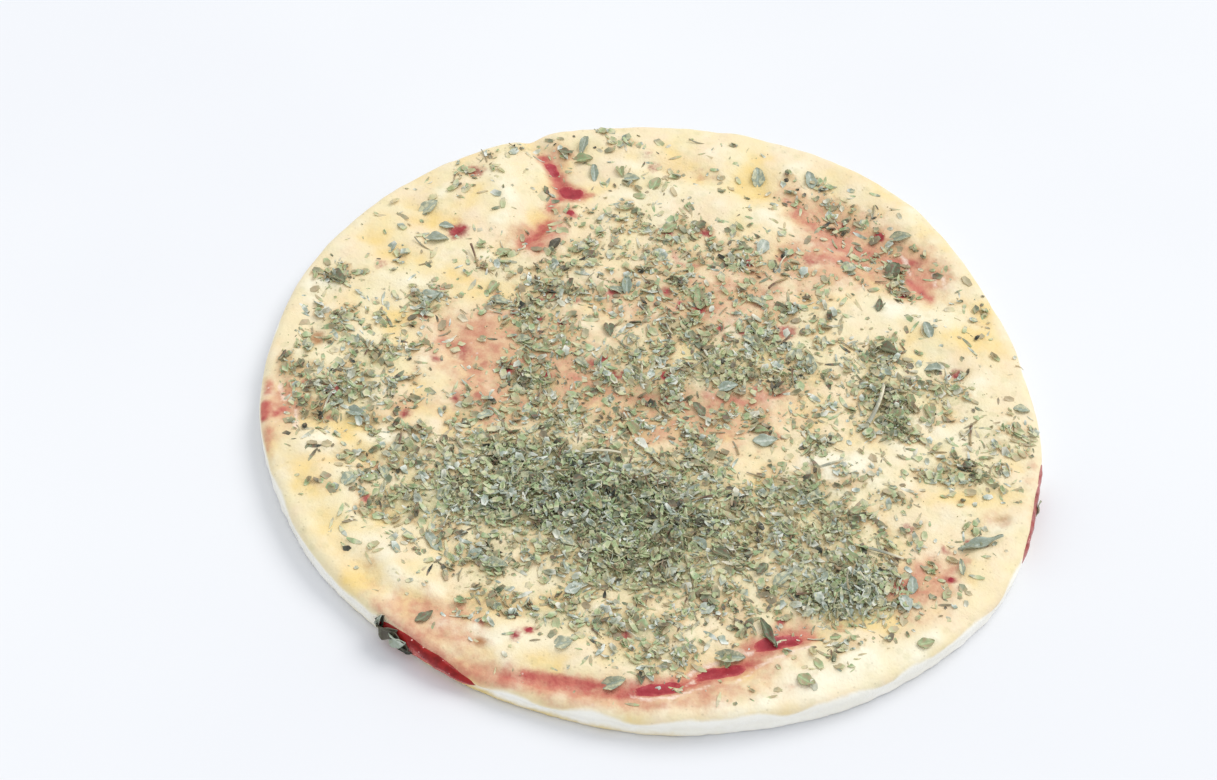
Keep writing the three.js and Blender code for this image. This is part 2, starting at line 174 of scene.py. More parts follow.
# Blush of sauce through the dough: x, y, half length, half width, heading in degrees, strength
BLUSH = [
    (50, 62, 22, 11, -35, 1.0),
    (38, 70, 18, 7, -38, 0.7),
    (36, 55, 17, 8, 0, 0.6),
    (66, 56, 9, 8, -60, 0.7),
    (20, 46, 20, 9, 0, 0.45),
    (-34, 64, 17, 5, 84, 0.7),
    (-41, 48, 8, 6, 0, 0.8),
    (-38, 82, 8, 5, 0, 0.5),
    (-50, 8, 14, 13, 0, 0.85),
    (-44, 16, 12, 6, 0, 0.5),
    (-38, -4, 15, 7, 0, 0.7),
    (-14, 0, 24, 10, 0, 0.8),
    (-6, 30, 28, 12, 0, 0.55),
    (18, -2, 16, 9, 0, 0.9),
    (30, 10, 12, 8, 0, 0.5),
    (4, -13, 20, 6, 0, 0.75),
    (-42, -14, 12, 7, 0, 0.6),
    (-58, -30, 10, 7, 0, 0.3),
    (-95, -18, 6, 12, 0, 0.8),
    (-95, -32, 4, 8, 15, 0.55),
    (-86, -20, 9, 6, 0, 0.5),
    (-63, -15, 6, 4, 0, 0.6),
    (-47, -81, 17, 7.5, -27, 1.1),
    (-18, -93, 28, 3.2, -2, 0.8),
    (4, -93.5, 16, 3.5, 12, 0.7),
    (-38, -74, 14, 3, 8, 0.5),
    (25, -82, 18, 4.5, 32, 0.8),
    (38, -70, 10, 5, 40, 0.8),
    (65, -50, 9, 6, 35, 0.8),
    (74, -43, 10, 7, 50, 0.7),
    (72, -56, 12, 6, 50, 0.4),
    (88, -25, 6, 4, 25, 0.5),
    (97, -12, 3, 16, 5, 0.5),
    (38, -85, 16, 5, 30, 0.45),
    (18, -91, 12, 4, 15, 0.5),
    (-28, 8, 12, 14, 0, 0.55),
    (14, 34, 20, 10, 0, 0.45),
    (-8, -96, 30, 2.5, 0, 0.2),
]

# Sauce that soaked into the dough and stained it red: half width, strength and course
SAUCE_STAINS = [
    (3.2, 0.9, [(-40, 80), (-37.6, 77), (-35.4, 72.5)]),
    (3.6, 0.95, [(-34.6, 70.6), (-32, 68.4), (-29.6, 67.4)]),
    (1.8, 0.7, [(-29.6, 67.6), (-25.6, 68.2)]),
    (1.5, 0.8, [(-33, 67), (-35.6, 64.4), (-36.4, 61.6)]),
    (2.0, 0.8, [(-31, 60.6), (-29.6, 59.2)]),
    (3.6, 0.82, [(-36, 55.6), (-38.2, 51.6), (-40.4, 48.2)]),
    (5.2, 0.62, [(-33.6, 54), (-35.4, 49.6), (-38.6, 46.6)]),
    (2.9, 0.62, [(-57, -81), (-52, -84), (-45, -88), (-36, -92)]),
    (3.8, 0.55, [(-36, -91.4), (-27, -92)]),
    (4.0, 0.66, [(-27, -92), (-16, -92.3)]),
    (4.1, 0.72, [(-16, -92.3), (0, -92.2)]),
    (2.0, 0.9, [(-22, -90.6), (-12, -91), (-4, -91)]),
    (3.9, 0.82, [(0, -92.2), (8, -90), (16, -86.6), (24, -82), (30, -78.6)]),
    (3.7, 0.8, [(30, -75), (36, -71.8), (43, -68.6)]),
    (4.2, 0.55, [(30, 72), (36, 68), (44, 63), (58, 60), (66, 52)]),
    (2.8, 0.55, [(34, 55), (42, 57), (50, 57)]),
    (2.6, 0.5, [(20, 47), (27, 45)]),
    (3.0, 0.5, [(-22, 2), (-8, -2), (6, 0)]),
    (2.6, 0.55, [(12, 2), (22, 1), (30, 6)]),
    (2.6, 0.5, [(-46, -10), (-40, -14)]),
    (2.6, 0.7, [(41, 61), (45, 62.5)]),
    (2.4, 0.7, [(57, 60), (62, 60)]),
    (2.2, 0.8, [(62, 53), (68, 48)]),
    (2.2, 0.6, [(27, 77), (32, 74)]),
    (2.0, 0.65, [(-98.2, -12.6), (-97.8, -15.6)]),
    (2.3, 0.95, [(-97.8, -20.4), (-97.4, -24.2)]),
    (1.5, 0.75, [(-95, -23.6), (-92.6, -20.6)]),
    (1.4, 0.5, [(-92.8, -25.4), (-91.8, -24)]),
    (2.2, 0.5, [(-93.6, -10.6), (-92.2, -14.6)]),
    (2.2, 0.55, [(-95.2, -29), (-94.8, -34)]),
    (3.0, 0.6, [(62, -52), (68, -47)]),
    (3.0, 0.5, [(74, -46), (80, -40)]),
    (2.8, 0.55, [(-47, 6), (-52, 7), (-58, 9)]),
    (2.4, 0.5, [(-42, 1), (-38, 3)]),
    (1.6, 0.6, [(-1.5, 51), (-0.4, 47.4), (2, 46.6), (5, 47)]),
]

# Spots of crimson sauce in dimples and holes: x, y, radius, strength
SAUCE_SPOTS = [
    (-59.3, 48, 3.4, 0.8),
    (-58.4, 70.3, 3, 0.75),
    (-69, 47, 2, 0.4),
    (-77, 31, 2, 0.5),
    (-61, 26, 1.8, 0.8),
    (-16, 33, 2.6, 0.85),
    (-2, 35.5, 2.2, 0.7),
    (7, 31.6, 2, 0.9),
    (1, 28, 2.2, 0.5),
    (-46, 26, 2, 0.5),
    (-32, 29, 2, 0.8),
    (-25, 28, 1.6, 0.5),
    (30.5, 28, 3, 0.8),
    (-4, 57.5, 2.8, 0.8),
    (6.5, 59.5, 2.2, 0.75),
    (27, 54, 2, 0.6),
    (35, 54, 2.2, 0.5),
    (43, 68, 2.2, 0.5),
    (30, 74, 1.8, 0.5),
    (63, 60, 2.2, 0.5),
    (76, 21, 2.2, 0.7),
    (-52, 6, 2.8, 0.65),
    (-58, 2, 1.8, 0.5),
    (-45, 3, 1.8, 0.5),
    (-39, 2, 2, 0.8),
    (-18, 8, 2, 0.7),
    (-19, -3, 1.6, 0.5),
    (-51, -10, 2, 0.8),
    (30, 7, 2, 0.6),
    (-5, -12, 2.4, 0.6),
    (-63, -17, 2, 0.7),
    (-88, -12, 2, 0.7),
    (-82.4, -12.8, 2.6, 0.85),
    (-74.7, -10.9, 1.8, 0.7),
    (-23, -79, 1.9, 0.85),
    (-26, -81, 2, 0.75),
    (0, -76, 1.8, 0.8),
    (77, -46, 1.9, 0.8),
    (64, -50, 2.6, 0.6),
    (81, -33, 1.8, 0.7),
    (66, -32, 1.8, 0.6),
    (75, -37, 1.8, 0.5),
    (-68, -46, 2, 0.7),
    (-66, -35, 2.4, 0.45),
    (-40, -74, 1.8, 0.5),
    (50, -64, 2.8, 0.5),
    (-10, 81, 2, 0.7),
    (-12, 86, 1.8, 0.5),
    (4, 81, 4, 0.3),
    (41, 80, 3, 0.3),
]

# Deeper yellow of the crust, partly painted shade in creases and on the flanks of puffs: x, y, half length,
# half width, heading in degrees, strength
GOLDEN = [
    (-76, 46, 14, 8, 48, 0.5),
    (-80, -26, 11, 4, 0, 0.9),
    (-82, -44, 9, 8, -60, 0.5),
    (-64, -66, 12, 7, -30, 0.35),
    (-34, -72, 9, 4, 0, 0.6),
    (-30, -84, 14, 4, -5, 0.7),
    (-52, -79, 10, 4, -30, 0.5),
    (76, 33, 14, 4, -5, 0.8),
    (40, 40, 10, 5, 10, 0.6),
    (-16, 86, 16, 5, 5, 0.5),
    (58, 78, 22, 4, -43, 0.5),
    (-58, 60, 12, 5, 60, 0.4),
    (70, -58, 12, 8, 45, 0.25),
    (52, 26, 8, 5, 0, 0.4),
    (-60, 33, 12, 6, 0, 0.5),
    (78, -20, 12, 3, 20, 0.35),
    (82, 30, 10, 12, 0, 0.4),
]

# Pale, nearly white dough, partly painted highlight on the tops of puffs: x, y, half length, half width,
# heading in degrees, strength
PALE = [
    (50, -16, 13, 7, 12, 0.8),
    (74, 2, 8, 6, 0, 0.7),
    (-14, 70, 8, 4, 0, 0.7),
    (24, 66, 12, 4, -10, 0.5),
    (58, 42, 9, 4, 0, 0.6),
    (-92, 18, 5, 9, 0, 0.6),
    (40, -25, 8, 5, 0, 0.5),
    (-66, -26, 6, 4, 20, 0.7),
    (-50, -70, 10, 3, -10, 0.7),
    (20, -60, 10, 3, 0, 0.6),
    (48, -81, 22, 6, 31, 0.9),
    (-44, 62, 5, 10, -10, 0.3),
    (-46, -79, 10, 3.5, -22, 0.5),
    (-22, -82, 16, 3.5, -3, 0.6),
    (-78, -36, 10, 6, -50, 0.4),
]

# Pale stretch marks in the dough: half width, strength and course
PALE_STREAKS = [
    (0.9, 1.0, [(58.5, 63), (61, 60), (62, 56)]),
    (0.8, 1.0, [(68.5, 57), (69, 53)]),
    (0.8, 0.9, [(71, 56), (71.5, 52)]),
    (1.0, 1.0, [(-95.4, -12.6), (-94.6, -15), (-93.4, -17.4)]),
    (0.9, 1.0, [(-89.6, -21), (-89.2, -24), (-88.8, -27)]),
    (0.8, 1.0, [(3, -92.6), (7, -93.6), (12, -92.6), (18, -88.8), (21, -87.4)]),
    (0.8, 1.0, [(15.5, -84.4), (19.6, -81), (22.5, -79.6)]),
    (0.8, 1.0, [(15.4, -87.4), (17.4, -85.8)]),
    (1.0, 1.0, [(25.5, -76), (30, -75.4)]),
    (0.7, 0.8, [(27, -85.2), (31, -81.4)]),
    (0.8, 0.9, [(31.6, -80), (35, -77.4), (39, -75), (44, -71.8)]),
    (0.9, 0.35, [(-60, -79.5), (-54, -82.5), (-46, -87), (-38, -91.5)]),
]

# Brown toasted spots: x, y, radius, strength
TOAST_SPOTS = [
    (-89, 4, 3, 0.9),
    (-34, -84, 2.3, 0.85),
    (-42, -71, 3.6, 0.4),
    (-63, -66, 3.2, 0.5),
    (-86, 29, 3, 0.4),
    (-79, -45, 2.6, 0.4),
    (89, -25, 3.4, 0.5),
    (-76, 4, 4, 0.35),
    (72, 19, 3, 0.4),
    (-15, -81, 3, 0.4),
]

# Glossy sauce that stands in the furrows: half width and course
SAUCE_RIBBONS = [
    (2.1, [(-40.3, 79.6), (-37.8, 76.8), (-35, 73.4)]),
    (2.8, [(-35.8, 71), (-32, 68.6), (-26.6, 67.4)]),
    (1.2, [(-31.8, 61), (-30.4, 59.8), (-29.2, 59)]),
    (2.8, [(1.6, -92.4), (9, -90), (17, -86.4)]),
    (2.7, [(15.4, -86.4), (22.5, -82.4), (31.4, -79)]),
    (2.7, [(28.6, -75.6), (36, -71.6), (44.2, -68.2)]),
    (0.8, [(-24, -79.5), (-22, -77.5)]),
    (0.8, [(76.2, -46.5), (77.6, -45)]),
]

# Its rise over the dough, how far its edges are sunk into the skin, and its thickness
RIBBON_RISE = 0.16
RIBBON_SINK = 0.3
RIBBON_THICKNESS = 0.8

# Form of that sauce: rows along and across, powers of its taper, least half width, size and turns of
# the waves and ripples of its edge, steps of a course that round its bends, and paleness of its edge
RIBBON_LENGTH_ROWS = 36
RIBBON_WIDTH_ROWS = 10
RIBBON_TAPER = 2.4
RIBBON_BLUNTNESS = 0.8
RIBBON_TIP = 0.05
RIBBON_WAVE = 0.16
RIBBON_WAVE_TURNS = 6
RIBBON_RIPPLE = 0.07
RIBBON_RIPPLE_TURNS = 19
COURSE_STEPS = 8
RIBBON_PALE_EDGE = 1.4

# Thick sauce that ran out over the rim: middle and half span in degrees, middle and half reach
# down the side, where 0 is the shoulder's upper edge and 1 the foot, bulge and dryness
SAUCE_BEADS = [
    (-121, 6, 0.55, 0.3, 0.9, 0),
    (-115.2, 5.4, 0.53, 0.28, 1.0, 0),
    (-8.6, 4.4, 0.54, 0.29, 0.5, 0.85),
    (-13, 5.4, 0.47, 0.2, 0.5, 0.85),
    (-17.6, 3.4, 0.4, 0.13, 0.4, 0.85),
    (-4.6, 2.6, 0.37, 0.12, 0.4, 0.85),
]

# Form of the thick sauce: how far it is sunk into the dough, segments and rings, size and turns of its
# wavy edge, and how far up and down the side it may reach
BEAD_SINK = 0.8
BEAD_SEGMENTS = 48
BEAD_RINGS = 24
BEAD_WAVE = 0.15
BEAD_WAVE_TURNS = 9
BEAD_LIMITS = (0.02, 0.96)

# Lumps of the thick sauce: their size across and share of the bulge
BEAD_LUMP_SIZE = 2.4
BEAD_LUMPS = 0.8

# Tone of the thick sauce: depth at its middle, what it gains upwards as painted shade under the dough's
# overhanging lip, and paleness of its lower edge
BEAD_DEPTH = 0.65
BEAD_UPPER_SHADE_GAIN = 0.5
BEAD_PALE_EDGE = 0.6

# Rim where the sauce ran over and left no dough white: middle and half span in degrees
SOAKED_RIM = [(-118.5, 8), (-11, 7)]

# Tones of dried herb, from charred to nearly white, as places along one ramp
TONES = {"char": 0, "dark": 0.2, "olive": 0.45, "green": 0.72, "blue": 0.79, "pale": 0.86, "white": 1.0}

# Large herb leaves that can be told apart: x, y, length, width, heading, tilt in degrees, tone
LARGE_LEAVES = [
    (84, -34, 11.5, 3.4, 14, 4, "blue"),
    (18.5, 84, 6.2, 4.2, 98, 8, "green"),
    (33, 85, 5.4, 3.6, 110, 6, "blue"),
    (58.5, 67.5, 6.4, 3.2, 18, 10, "green"),
    (-30, 86.5, 7, 2.6, 84, 3, "blue"),
    (-26, 76.5, 6.6, 2.4, 100, 3, "blue"),
    (-33, 47.5, 4.6, 2.8, 60, 12, "char"),
    (-68, 54, 6.4, 4, 50, 5, "green"),
    (-64, 43, 6.4, 3.4, 20, 5, "blue"),
    (-46, 42.5, 6, 3.6, 55, 10, "olive"),
    (-63, 23, 5.6, 4.6, 20, 8, "blue"),
    (-88, 25, 6.4, 4.4, -35, 10, "dark"),
    (-45, 24.5, 5.4, 3.2, -15, 5, "green"),
    (-12.5, 36, 6.4, 3, 98, 5, "blue"),
    (-9, 75, 5, 3.6, 70, 8, "olive"),
    (-16, 76, 5, 3, 10, 5, "green"),
    (7, 35, 6.4, 3.8, 105, 8, "olive"),
    (22, 57, 5, 4, 80, 12, "pale"),
    (57.5, 56, 7, 4.6, 75, 12, "dark"),
    (45.5, 54, 4.8, 4, 30, 10, "green"),
    (67.5, 34.5, 5.4, 3, 112, 4, "blue"),
    (57, 26, 6.4, 4, -25, 10, "dark"),
    (17, 5, 5.4, 3.4, 22, 8, "blue"),
    (28, -11, 6.2, 4.2, 10, 5, "blue"),
    (93, 12, 4.4, 3, 0, 3, "green"),
    (-48, -79, 5, 3, 42, 5, "dark"),
    (-72.5, -41.5, 5, 4.2, 60, 3, "green"),
    (-14.5, -82, 4.6, 4.2, 20, 8, "green"),
    (-3, -17.5, 5.8, 2.8, -48, 5, "white"),
    (-14, -65, 4.6, 3.4, 30, 8, "pale"),
    (66, -55, 5.2, 3.6, 118, 3, "pale"),
    (79.5, -42, 5.4, 1.8, 100, 3, "green"),
    (25, -77.5, 8, 3.6, 8, 8, "green"),
    (33.5, -70, 8.4, 2.4, -55, 8, "dark"),
    (18.5, -65.5, 4.6, 3.8, 40, 8, "pale"),
    (43.5, -83, 4.8, 4, -30, 6, "olive"),
    (71.5, -67, 4.4, 3.2, 20, 3, "olive"),
    (-1.5, -90, 6.2, 3.6, 28, 8, "green"),
]

# Leaves stuck to the rim: angle in degrees, height, gap, length, width, heading from upright, tone
RIM_LEAVES = [
    (-124.5, 4.6, 0.7, 7, 4, 60, "char"),
    (-122, 4.2, 0.7, 6, 3.6, 115, "char"),
    (-10, 4.8, 0.6, 4.8, 2.8, 20, "green"),
    (-125.8, 6, 0.6, 4.6, 2.4, 20, "char"),
    (-122.4, 4.6, 1.3, 5.2, 3.8, 80, "blue"),
    (-121.2, 3, 0.9, 5, 1.8, 100, "char"),
    (-126, 5.6, 0.7, 6, 1.2, 12, "pale"),
]

# Share of its width that a dried leaf keeps as it rolls up
LEAF_NARROWING = 0.84

# Height of the leaves' middles over the dough, the share of a heap that they stand on, and their veil
LEAF_LIFT = 0.25
LEAF_HEAP_SHARE = 0.35
LEAF_VEIL = 0.15

# Dry stems: x, y, length, heading in degrees, tone
LARGE_STEMS = [
    (55.3, 6, 14, 76, "blue"),
    (27, 43.5, 8, 52, "dark"),
    (-53.5, 38.5, 7, -66, "dark"),
    (-12, -23, 9, 3, "white"),
    (60.5, -41.5, 9, -10, "pale"),
]

# How much higher than the fine stems they lie
LARGE_STEM_LIFT = 0.5

# Patches of the evenly spread leaves, as the solid has them: x, y, half length, half width, heading in
# degrees, density
SPREAD_PATCHES = [
    (0, -42, 60, 20, 0, 1.0),
    (44, -54, 18, 11, 15, 0.6),
    (0, 12, 46, 26, 0, 0.5),
    (-78, -13, 13, 6, 0, 0.7),
    (-88, 5, 7, 5, 0, 0.4),
    (60, 9, 9, 12, 80, 0.7),
    (78, -10, 9, 6, -30, 0.6),
    (-36, 86, 12, 5, -25, 0.5),
    (-62, 68, 8, 7, 30, 0.4),
]

# Evenly spread leaves: density outside those patches, count, longest and shortest, width as a share of
# length, radius of their field, tilt in degrees, tones, turn in degrees from each leaf to the next, and
# the steps of the even sequence that gives x, y and chance
SPREAD_BARE_DENSITY = 0.06
SPREAD_COUNT = 56
SPREAD_LONGEST = 6
SPREAD_SHORTEST = 4
SPREAD_SLENDERNESS = 0.58
SPREAD_RADIUS = 93
SPREAD_TILT = 9
SPREAD_TONES = ("green", "blue", "olive", "green", "olive", "dark")
GOLDEN_TURN = 137.508
EVEN_STEPS = (0.8191725134, 0.6710436067, 0.5497004779)

# How thick the fine herbs lie: x, y, half length, half width, heading in degrees, layers
HERB_LAYERS = [
    (-14, -38, 38, 14, 0, 1.9),
    (34, -41, 28, 12, 0, 0.5),
    (51, -55, 13, 8, 12, 1.9),
    (48, -36, 7, 6, 0, 0.5),
    (2, -56, 20, 8, 0, 1.0),
    (-10, -62, 9, 5, 0, 0.6),
    (-24, -13, 17, 5, 0, 0.8),
    (-36, -24, 10, 5, 0, 1.0),
    (-16, -25, 8, 4, 0, 1.1),
    (14, -25, 10, 4, 0, 0.4),
    (-34, -1, 7, 5, 0, 1.0),
    (-48, -12, 5, 4, 0, 0.85),
    (-58, -47, 6, 5, 0, 0.5),
    (-60, -29, 6, 7, 0, 0.7),
    (-46, -60, 7, 4, 0, 0.4),
    (-48, -45, 12, 6, 0, 0.45),
    (2, -74, 12, 6, 0, 1.0),
    (-36, -72, 6, 4, 0, 0.7),
    (11, -80, 9, 3, 10, 0.6),
    (24, -70, 8, 4, 0, 0.25),
    (36, -71, 5, 3, 0, 0.4),
    (-36, -60, 6, 8, 0, 0.8),
    (-20, -73, 10, 4, 0, 0.85),
    (26, -65, 18, 5, 8, 0.3),
    (-2, 3, 30, 14, 0, 0.8),
    (12, 12, 5, 5, 0, 0.35),
    (26, 14, 18, 7, 0, 0.75),
    (36, 24, 5, 4, 0, 0.3),
    (-3, 34, 22, 9, 0, 0.6),
    (-32, 36, 9, 9, 0, 0.5),
    (-36, 20, 7, 9, 0, 0.82),
    (0, 54, 26, 8, 0, 0.45),
    (-24, 60, 6, 4, 0, 0.2),
    (-24, 46, 6, 5, 0, 0.4),
    (0, 24, 5, 4, 0, 0.8),
    (24, 34, 7, 5, 0, 0.2),
    (50, 60, 7, 5, 0, 0.4),
    (36, 35, 7, 5, 0, 0.5),
    (-42, 23, 18, 6, 0, 0.25),
    (13, 23, 14, 5, 0, 0.4),
    (49, 22, 8, 5, 0, 0.5),
    (-24, 12, 6, 5, 0, 0.4),
    (-12, 12, 5, 5, 0, 0.4),
    (-14, 62, 12, 6, 0, 0.2),
    (24, 49, 10, 6, 0, 0.55),
    (-79, -12, 12, 7, 0, 1.25),
    (-73, 0, 6, 5, 0, 1.0),
    (-74, 13, 12, 5, 0, 0.3),
    (-84, -23, 8, 4, 0, 0.5),
    (-88, 25, 5, 5, 0, 0.6),
    (-87, 8, 6, 5, 0, 0.5),
    (-63, 23, 5, 4, 0, 0.85),
    (-73, 32, 4, 4, 0, 0.3),
    (-46, 41, 5, 6, 0, 0.5),
    (58, 10, 6, 12, 10, 1.1),
    (57, 26, 5, 4, 0, 0.4),
    (61, 1, 5, 5, 0, 1.1),
    (44, 0, 9, 5, 0, 0.35),
    (70, -12, 6, 4, 0, 0.3),
    (72, -36, 5, 5, 0, 0.1),
    (74, 12, 8, 5, 0, 0.6),
    (60, -24, 6, 5, 0, 0.55),
    (60, -38, 5, 6, 0, 0.5),
    (80, -12, 9, 6, 0, 1.0),
    (96, 0, 3, 5, 0, 0.5),
    (72, 18, 7, 6, 0, 0.5),
    (87, 2, 7, 8, 0, 0.45),
    (40, -9, 8, 4, 0, 0.7),
    (10, -20, 8, 4, 0, 0.6),
    (38, -26, 8, 5, 0, 1.0),
    (52, -16, 14, 7, 0, 0.31),
    (48, -72, 5, 3, 0, 0.4),
    (6, -84, 11, 3.5, 0, 0.5),
    (-96, -6, 3, 8, 0, 0.35),
    (-40, 81, 7, 4, -30, 0.28),
    (-8, 77, 8, 5, 0, 0.2),
    (36, 76, 10, 8, 0, 0.45),
    (84, 48, 4, 4, 0, 0.4),
    (46, 71, 9, 6, 0, 0.45),
    (58, 53, 6, 6, 0, 0.8),
    (-24, 71, 4, 5, 0, 0.25),
    (-60, 70, 7, 6, 30, 0.5),
    (82, -32, 4, 4, 0, 0.4),
    (-48, 81.5, 7, 3, 20, 0.5),
    (-26, 92, 5, 2.5, 10, 0.4),
    (-24, 34, 5, 5, 0, 0.2),
    (0, 47, 4, 4, 0, 0.3),
    (24, 24, 5, 4, 0, 0.5),
    (36, 12, 5, 4, 0, 0.3),
    (0, 0, 4, 4, 0, 0.4),
    (12, -12, 6, 4, 0, 0.5),
    (48, -25, 6, 4, 0, 0.1),
    (-12, -72, 5, 4, 0, 0.1),
    (-48, 35, 5, 4, 0, 0.25),
    (4, 37, 9, 4, 0, 0.3),
    (70, 60, 5, 4, 0, 0.25),
    (-73, 22, 5, 12, 0, 0.05),
]

# Layers of stray herbs everywhere, layers of the deepest heap, and radius and cell of the field
STRAY_LAYERS = 0.065
FULL_LAYERS = 2
HERB_FIELD_RADIUS = 97
CELL = 0.5

# Uneven drifts of the fine herbs: their size, how much they differ and the thinnest
DRIFT_SIZE = 7
DRIFT_DEPTH = 1.2
DRIFT_LEAST = 0.1

# Share of the fine herbs that sauce keeps off it
SAUCE_CLEARING = 0.7

# Counts and sizes of the fine herbs
FLAKE_COUNT = 6300
FLAKE_LENGTH = 2.3
SHRED_COUNT = 4000
SHRED_LENGTH = 2.3
CRUMB_COUNT = 8500
CRUMB_LENGTH = 0.7

# Share of the crumbs that lie away from any flake
LONE_CRUMBS = 0.25

# Dry stems among the fine herbs: count, length and its spread, least thickness and what it gains for
# each millimetre of length, tilt in degrees, height of their middles over the dough, and tones
STEM_COUNT = 200
STEM_LENGTH = 3.4
STEM_SPREAD = 0.35
STEM_THICKNESS = 0.14
STEM_GIRTH = 0.08
STEM_TILT = 6
STEM_LIFT = 0.25
STEM_TINTS = ("dark", "olive", "olive", "pale")

# Sizes of the fine herbs: their spread, what those in heaps gain, and the longest
SIZE_SPREAD = 0.46
HEAP_GROWTH = 0.12
LONGEST_FLAKE = 4.2

# Small clumps of the fine herbs: their count, the share of herbs in them, and their radius
CLUMP_COUNT = 700
CLUMP_SHARE = 0.4
CLUMP_RADIUS = 2.6

# Tilt and roll of the fine herbs in degrees: where they lie single, and what a heap adds
SINGLE_TILT = 6
HEAP_TILT = 26
SINGLE_ROLL = 7
HEAP_ROLL = 32

# Heaps: how high the deepest rises, and size, difference and least height of its lumps
HEAP_RISE = 2
HEAP_LUMP_SIZE = 6
HEAP_LUMPS = 1.3
HEAP_LEAST_LUMP = 0.2

# How high crowded flakes heap up outside the thick patches
CROWD_HEAP = 0.5

# How much baked dough veils the herbs where they lie single
VEIL = 0.75
VEIL_LEAN = 1.5

# Tints of the fine herbs: middle and spread of most and of the pale ones, share of those, and limits
TINT = (0.5, 0.22)
PALE_TINT = (0.74, 0.1)
PALE_SHARE = 0.15
TINT_LIMITS = (0.02, 0.88)

# Heap with more of the pale tints: x, y, half length, half width, heading in degrees, added share
PALE_HEAPS = [(51, -55, 14, 9, 12, 0.35)]

# Drift of the tints by place: how much they differ and over what size
TINT_DRIFT = 0.26
TINT_DRIFT_SIZE = 6

# Stain and painted shade round each flake: cell of its grid, weights of its blur and strength
HALO_CELL = 1
HALO_BLUR = (1, 4, 6, 4, 1)
HALO_STRENGTH = 3.2

# Wandering edge of the white side: how much its height differs, over what size, and how softly it fades
RAW_WANDER = 0.55
RAW_WANDER_SIZE = 11
RAW_FADE = 0.45

# Toasted lower edge: its height, its reach inwards, and its middle and half span in degrees
TOASTED_HEIGHT = 2.3
TOASTED_REACH = 2.5
TOASTED_MIDDLE = -106
TOASTED_SPAN = 30

# Painted light by relief: gold painted as shade in hollows and on the slopes of furrows, reach of those
# slopes, and paleness painted as highlight on the tops of lumps
HOLLOW_PAINTED_SHADE = 1.4
SLOPE_PAINTED_SHADE = 0.45
SLOPE_REACH = 1.8
LUMP_PAINTED_HIGHLIGHT = 1.3

# Strength of the blush on bare dough, and what crowded flakes add to it
BARE_BLUSH = 0.7
CROWDED_BLUSH = 0.5

# Photograph's frame and the camera that fits the base in it
PHOTO_WIDTH = 1217
CAMERA_ELEVATION = 49.37
CAMERA_ROLL = 7.91
CAMERA_DISTANCE = 736.5
CAMERA_FIELD = 24
CENTRE_RIGHT_PIXELS = 48.4
CENTRE_DOWN_PIXELS = 24.7
SENSOR_WIDTH = 36

# Soft light of the room, and a key light from the back right: its tilts and its spread in degrees
ROOM_COLOUR = (0.95, 0.975, 1, 1)
ROOM_STRENGTH = 0.86
KEY_TILTS = (-30, 32, 0)
KEY_STRENGTH = 1.3
KEY_SPREAD = 35
KEY_COLOUR = (1, 0.985, 0.95)

# Floor: its size, and the gap that keeps it clear of the underside
FLOOR_SIZE = 4000
FLOOR_GAP = 0.2


# Plane functions in millimetres, on arrays

def bell(distance):
    return np.exp(-distance * distance)


def patch_distance(x, y, patch):
    """Distance from a patch in its own axes, where 1 is the patch's edge."""
    centre_x, centre_y, half_length, half_width, heading = patch[:5]
    cos, sin = math.cos(math.radians(heading)), math.sin(math.radians(heading))
    along = (x - centre_x) * cos + (y - centre_y) * sin
    across = (y - centre_y) * cos - (x - centre_x) * sin
    return np.hypot(along / half_length, across / half_width)


def patch_sum(x, y, patches):
    return sum(patch[-1] * bell(patch_distance(x, y, patch)) for patch in patches)


def course_distance(x, y, course):
    nearest = np.full(np.shape(x), np.inf)
    for (start_x, start_y), (end_x, end_y) in zip(course, course[1:]):
        run_x, run_y = end_x - start_x, end_y - start_y
        part = ((x - start_x) * run_x + (y - start_y) * run_y) / (run_x * run_x + run_y * run_y)
        part = np.clip(part, 0, 1)
        nearest = np.minimum(nearest, np.hypot(x - start_x - part * run_x, y - start_y - part * run_y))
    return nearest


def stroke_mask(x, y, strokes):
    mask = np.zeros(np.shape(x))
    for half, strength, course in strokes:
        mask = np.maximum(mask, strength * bell(course_distance(x, y, course) / half))
    return mask


def spot_mask(x, y, spots):
    mask = np.zeros(np.shape(x))
    for spot_x, spot_y, radius, strength in spots:
        mask = np.maximum(mask, strength * bell(np.hypot(x - spot_x, y - spot_y) / radius))
    return mask


def turn_from(angle, middle):
    """Signed degrees from a middle direction, the short way round."""
    turn = angle - math.radians(middle)
    return np.degrees(np.arctan2(np.sin(turn), np.cos(turn)))


def outline_radius(angle):
    radius = np.full(np.shape(angle), float(BASE_RADIUS))
    for waves, size, phase in OUTLINE_LOBES:
        radius = radius + size * np.cos(waves * angle + math.radians(phase))
    return radius - NOTCH_DEPTH * bell(turn_from(angle, NOTCH_MIDDLE) / NOTCH_HALF_SPAN)


def cloud(x, y, z, size):
    """Smooth random heights between -1 and 1 that change over a size."""
    places = zip(*((np.ravel(axis) / size).tolist() for axis in (x, y, z)))
    return np.array([noise.noise(place) for place in places]).reshape(np.shape(x))


def skin_lumps(x, y):
    """Height of the small lumps all over the skin."""
    return sum(rise * cloud(x, y, np.full(np.shape(x), size * size), size) for size, rise in LUMP_SIZES)


def top_height(x, y):
    reach = np.hypot(x, y) / BASE_RADIUS
    height = RIM_HEIGHT + CROWN_RISE * (1 - reach * reach) + patch_sum(x, y, PUFFS)
    for half, depth, course in FURROWS:
        height = height - depth * bell(course_distance(x, y, course) / half)
    for dimple_x, dimple_y, radius, depth in DIMPLES:
        height = height - depth * bell(np.hypot(x - dimple_x, y - dimple_y) / radius)
    return height + skin_lumps(x, y)


